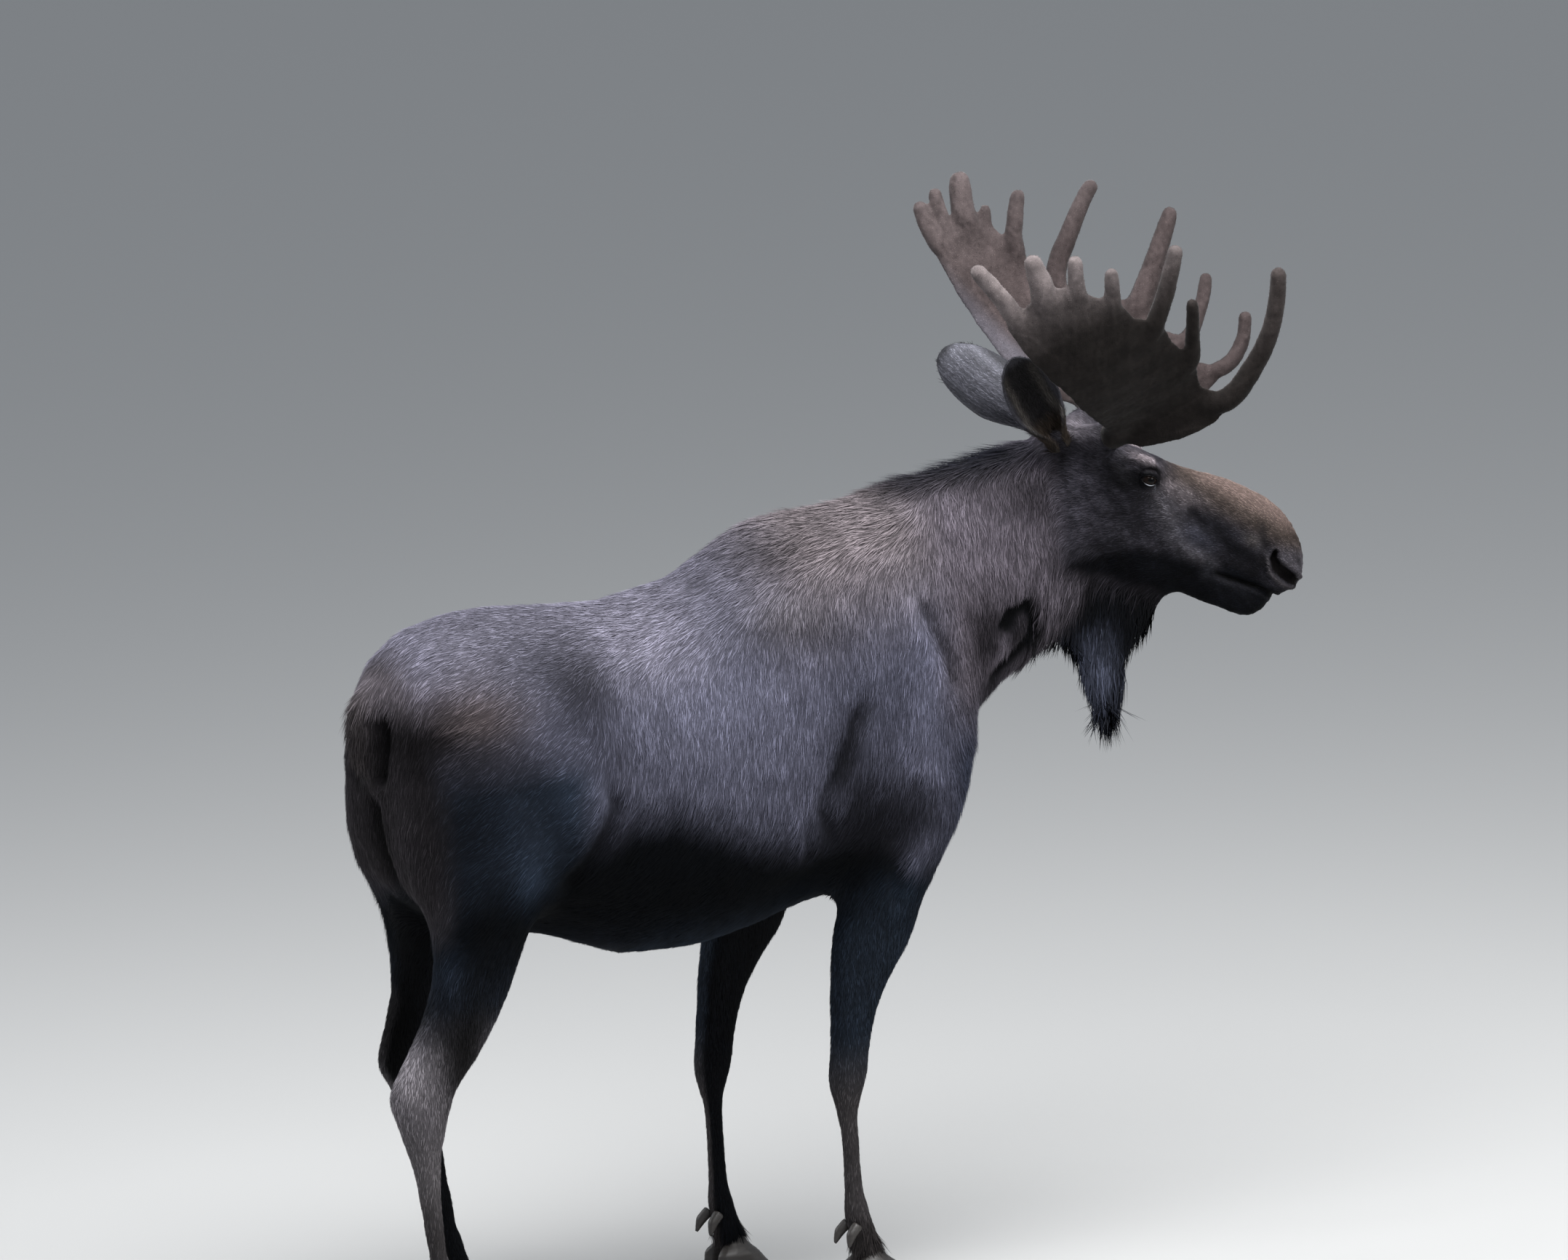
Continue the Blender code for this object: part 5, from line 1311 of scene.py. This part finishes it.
def antler_mesh(side):
    bm = bmesh.new()
    for tine in TINES[side].values():
        add_tine(bm, side, *tine)
    add_palm(bm, side)
    mirror = np.array((1, SIDES[side], 1))
    burr, root = np.array(BURR) * mirror, np.array(PEDICLE_ROOT) * mirror
    axis = unit(burr - root)
    beam = [burr - axis * 0.012, burr, burr + axis * 0.012]
    beam += [antler_point(side, *place) for place in ((118, 0.03, -0.014), (116, 0.08, -0.012), (114, 0.14))]
    radii = np.array((0.9, 1.0, 0.97, 0.85, 0.5, 0.25)) * PEDICLE_RADIUS - VELVET_DEPTH
    add_tube(bm, [HEAD_POSE @ Vector(p) for p in beam], radii, 32)
    mesh = fused(bm, ANTLER_VOXEL)
    antler = Surface(mesh)
    antler.soften(0.5, 6)
    head = to_head(antler.points)
    rim = np.array(PALM_RIM[side])
    within = np.interp(antler_angle(head), rim[:, 0], rim[:, 1]) - antler_reach(head)
    antler.soften(0.5 * ramp(within, 0.01, 0.05), 60)
    foot = near(to_head(antler.points), antler_point(side, 117, 0.06), (0.1, 0.12, 0.1))
    antler.soften(0.6 * foot, 40)
    antler.push(0.0006 * waves(antler.points, 0.06, 61) + 0.00035 * waves(antler.points, 0.02, 62))
    antler.store(mesh)
    return mesh


VEINS = 9
VEIN_DEPTH = 0.0004


def vein_height(head, side):
    """Blood vessels under the velvet fan out from the burr over the palm, with a slight waver."""
    angle, reach = np.radians(antler_angle(head)), antler_reach(head)
    waver = 0.1 * np.sin(reach * 31 + 2.0 * SIDES[side]) + 0.05 * np.sin(reach * 67 + 1.0)
    phase = (angle + waver * 0.35) * VEINS * (1 + (reach > 0.27))
    ridge = np.clip(np.cos(phase * 2) - 0.86, 0, 1) / 0.14
    return ridge * ramp(reach, 0.05, 0.12) * ramp(reach, 0.56, 0.42)


def velvet_fields(side, points, normals):
    head = to_head(points)
    reach = antler_reach(head)
    count = len(points)
    radial = np.stack([head[:, 0] - BURR[0], np.zeros(count), head[:, 2] - BURR[2]], 1)
    tip = ramp(reach, 0.3, 0.55)
    inner = (normals @ TURN)[:, 1] * SIDES[side] < 0
    behind = ramp(head[:, 0], 0.02, -0.14)[:, None]
    # tines paler towards their tips, and the rear tines' tips much paler still as a painted highlight
    tint = layered(np.tile((0.016, 0.0135, 0.0125), (count, 1)), (
        (mix((0.06325, 0.05225, 0.0506), (0.2, 0.17, 0.17), behind), 0.85 * tip),
        ((0.07, 0.054, 0.054), 0.75 * inner),
    ))
    mottling = 0.5 + 0.28 * waves(points, 0.075, 63, 14) + 0.28 * waves(points, 0.021, 64, 16)
    tint = mix(tint, tint * 0.5, 0.8 * np.clip(mottling, 0, 1))
    tint = mix(tint, tint * 1.35, 0.6 * vein_height(head, side))
    # painted highlight of the sky along the rear edge of the left antler
    if side == "left":
        edge = ramp(antler_angle(head), 160, 172) * ramp(reach, 0.06, 0.14)
        tint = mix(tint, (0.16, 0.152, 0.18), 0.55 * edge)
    return even_fields(count, length=0.004, width=0.0012, lift=0.8, light=0.35, stray=1.5, ruffle=1.0) | {
        "lie": unit(radial) @ TURN.T,
        "tint": tint,
    }


for antler_side, antler_sign in SIDES.items():
    velvet_mesh = antler_mesh(antler_side)
    velvet = Surface(velvet_mesh)
    velvet.push(VEIN_DEPTH * vein_height(to_head(velvet.points), antler_side))
    velvet.store(velvet_mesh)
    antler_nodes = [f"{antler_side}_antler_{part}" for part in ("beam", "palm", "brow")]
    dress_with_hair(antler_side + "_antler_velvet", antler_side + "_antler_fuzz", velvet_mesh, (VELVET, FUZZ),
                    "velvet", antler_nodes, partial(velvet_fields, antler_side), 1.0, 24000,
                    80 + int(antler_sign), ends=(0.6, 1.7))


# ---------------------------------------------------------------- eyes
LID_RADIUS = 0.0011


def lid_margins(side):
    """The wet rims of the lids: the upper black, the lower painted pale as a painted reflection of the light.
    """
    centre, out, front, up = eye_axes(side)
    bm = bmesh.new()
    for upper in (True, False):
        turns = np.linspace(math.pi, 0, 41)
        across = LID_HALF_WIDTH * np.cos(turns) - LID_LEAN
        above = lid_height(across, upper) * (1 if upper else -1)
        depth = np.sqrt((EYE_RADIUS + 0.0012) ** 2 - across**2 - above**2)
        head = centre + across[:, None] * front + above[:, None] * up + depth[:, None] * out
        radii = LID_RADIUS * (0.35 + 0.65 * np.sin(turns))
        add_tube(bm, from_head(head), radii, 10)
    bmesh.ops.recalc_face_normals(bm, faces=bm.faces)
    mesh = finished(bm, side + "_lid_margins")
    local = to_head(Surface(mesh).points) - centre
    # the lower rim's painted reflection
    wet = bump(local @ front + 0.001, 0.0105, 4) * (local @ up < -0.004)
    tint = mix(np.tile((0.004, 0.0035, 0.004), (len(local), 1)), (0.34, 0.35, 0.39), wet)
    dress(side + "_lid_margins", mesh, EYEBALL, (), tint)


def unit_ball(name):
    """A ball of radius 1, its faces in the same order on every run."""
    bm = bmesh.new()
    bmesh.ops.create_uvsphere(bm, u_segments=72, v_segments=60, radius=1.0)
    mesh = finished(bm, name)
    points = read(mesh.vertices, "co", 3)
    faces = [list(face.vertices) for face in mesh.polygons]
    lowest = [face.index(min(face)) for face in faces]
    mesh.clear_geometry()
    mesh.from_pydata(points, [], sorted(face[k:] + face[:k] for face, k in zip(faces, lowest)))
    return mesh


def eye(side):
    """The ball of the eye, fuller in front: a dark brown iris round a wide dark pupil."""
    centre, out, front, up = eye_axes(side)
    mesh = unit_ball(side + "_eyeball")
    ball = Surface(mesh)
    across, above, depth = ball.points.T
    cornea = np.where(depth > 0, 0.045 * ramp(np.hypot(across / 1.15, above), 0.72, 0.1), 0.0)
    radius = (EYE_RADIUS - 0.0004) * (1 + cornea)
    pupil = np.hypot(across / 0.42, above / 0.27)
    iris = np.hypot(across, above)
    tint = layered(np.tile((0.007, 0.004, 0.0028), (len(iris), 1)), (
        ((0.0014, 0.0013, 0.0015), ramp(pupil, 1.15, 0.85)),
        ((0.009, 0.008, 0.008), ramp(iris, 0.8, 0.88)),
    ))
    way = across[:, None] * front + above[:, None] * up + depth[:, None] * out
    ball.points = from_head(centre + radius[:, None] * way)
    ball.store(mesh)
    dress(side + "_eyeball", mesh, EYEBALL, [side + "_eye"], tint)


for eye_side in SIDES:
    eye(eye_side)
    lid_margins(eye_side)


# ---------------------------------------------------------------- hooves and dewclaws
SOLE = 0.0006  # points lower than this stay on the floor
CLAW_VOXEL = 0.0036
HOOF_TOP = 0.028  # what a hoof's top is drawn in to, under the coat of the pastern


def claw(name):
    """The horn of one claw: smooth, with growth rings and a paler worn edge."""
    bm = bmesh.new()
    bm.from_mesh(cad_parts[name].data)
    bmesh.ops.remove_doubles(bm, verts=bm.verts, dist=SAME_POINT)
    mesh = fused(bm, CLAW_VOXEL)
    shape = Surface(mesh)
    sole = shape.points[:, 2] < SOLE
    start = shape.points.copy()
    if "hoof" in name:
        foot = np.array(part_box(name.rsplit("_", 2)[0] + "_pastern")).mean(0)
        away = shape.points[:, :2] - (foot[:2] + (0.022, 0))
        reach = np.linalg.norm(away, axis=1)
        drawn = np.minimum(reach, HOOF_TOP) / np.maximum(reach, 1e-6)
        rise = ramp(shape.points[:, 2], 0.045, 0.088)
        shape.points[:, :2] += away * (drawn - 1)[:, None] * rise[:, None]
    shape.soften(0.5, 8)
    shape.points[sole] = start[sole]
    shape.push(np.where(sole, 0, 0.00016 * np.sin(shape.points[:, 2] * 2 * math.pi / 0.0085)))
    shape.points[:, 2] = np.maximum(shape.points[:, 2], 0)
    shape.store(mesh)
    z = shape.points[:, 2]
    rings = 0.5 + 0.5 * np.sin(z * 2 * math.pi / 0.011 + 1.5 * waves(shape.points, 0.04, 91))
    tint = layered(np.tile((0.022, 0.019, 0.017), (len(z), 1)), (
        ((0.034, 0.029, 0.026), 0.6 * rings),
        ((0.085, 0.072, 0.06), ramp(z, 0.016, 0.002) * 0.7),
    ))
    dress(name + "_horn", mesh, HORN_LOOK, [name], tint)


for horn_name in HORN:
    claw(horn_name)


# ---------------------------------------------------------------- floor, light and camera
FLOOR_SIZE = 120.0
FLOOR_TINT = (0.46, 0.46, 0.455, 1)
SKY_TINT, SKY_STRENGTH = (0.86, 0.92, 1.0, 1), 0.46
# Size, power, place, aim and colour
LIGHTS = {
    "overhead": (5.0, 640, (0.0, -1.5, 6.0), (0, 0, 1.2), (1, 1, 1)),
    "front": (2.5, 130, (3.5, -5.5, 3.8), (0.2, 0, 1.4), (1.0, 0.98, 0.95)),
    "rear": (3.0, 130, (-4.5, 4.0, 3.8), (0, 0, 1.4), (1, 1, 1)),
}


def floor():
    bm = bmesh.new()
    bmesh.ops.create_grid(bm, x_segments=1, y_segments=1, size=FLOOR_SIZE)
    mesh = finished(bm, "floor")
    mesh.materials.append(new_material("floor", 0.9, Base_Color=FLOOR_TINT))
    put("floor", mesh)


def studio():
    world = bpy.data.worlds.new("studio")
    world.use_nodes = True
    backdrop = world.node_tree.nodes["Background"]
    backdrop.inputs["Color"].default_value = SKY_TINT
    backdrop.inputs["Strength"].default_value = SKY_STRENGTH
    bpy.context.scene.world = world
    for name, (size, power, place, aim, colour) in LIGHTS.items():
        light = bpy.data.lights.new(name, "AREA")
        light.shape = "DISK"
        light.size = size
        light.energy = power
        light.color = colour
        obj = put(name, light)
        obj.location = place
        obj.rotation_euler = (Vector(aim) - Vector(place)).to_track_quat("-Z", "Y").to_euler()
    bpy.context.scene.view_settings.view_transform = "Standard"
    bpy.context.scene.view_settings.exposure = 0.0


CAMERA_TURN, CAMERA_DIP, CAMERA_ROLL = 30.45, 11.29, 3.06  # degrees
CAMERA_DISTANCE = 35.0
SENSOR_WIDTH = 36.0
VIEW_WIDTH = 3.654  # metres across the picture at the aim
AIM = (-0.0008, 0.188, 0.283)  # from the middle of the part's box


def camera():
    aim = (Vector(cad_box[0]) + Vector(cad_box[1])) / 2 + Vector(AIM)
    turns = ((-CAMERA_TURN, "Z"), (90 - CAMERA_DIP, "X"), (-CAMERA_ROLL, "Z"))
    heading, dip, roll = (Matrix.Rotation(math.radians(angle), 4, axis) for angle, axis in turns)
    data = bpy.data.cameras.new("camera")
    data.sensor_width = SENSOR_WIDTH
    data.lens = SENSOR_WIDTH * CAMERA_DISTANCE / VIEW_WIDTH
    data.clip_end = 200
    obj = put("camera", data)
    back_off = Matrix.Translation((0, 0, CAMERA_DISTANCE))
    obj.matrix_world = Matrix.Translation(aim) @ heading @ dip @ roll @ back_off
    bpy.context.scene.camera = obj


floor()
studio()
camera()
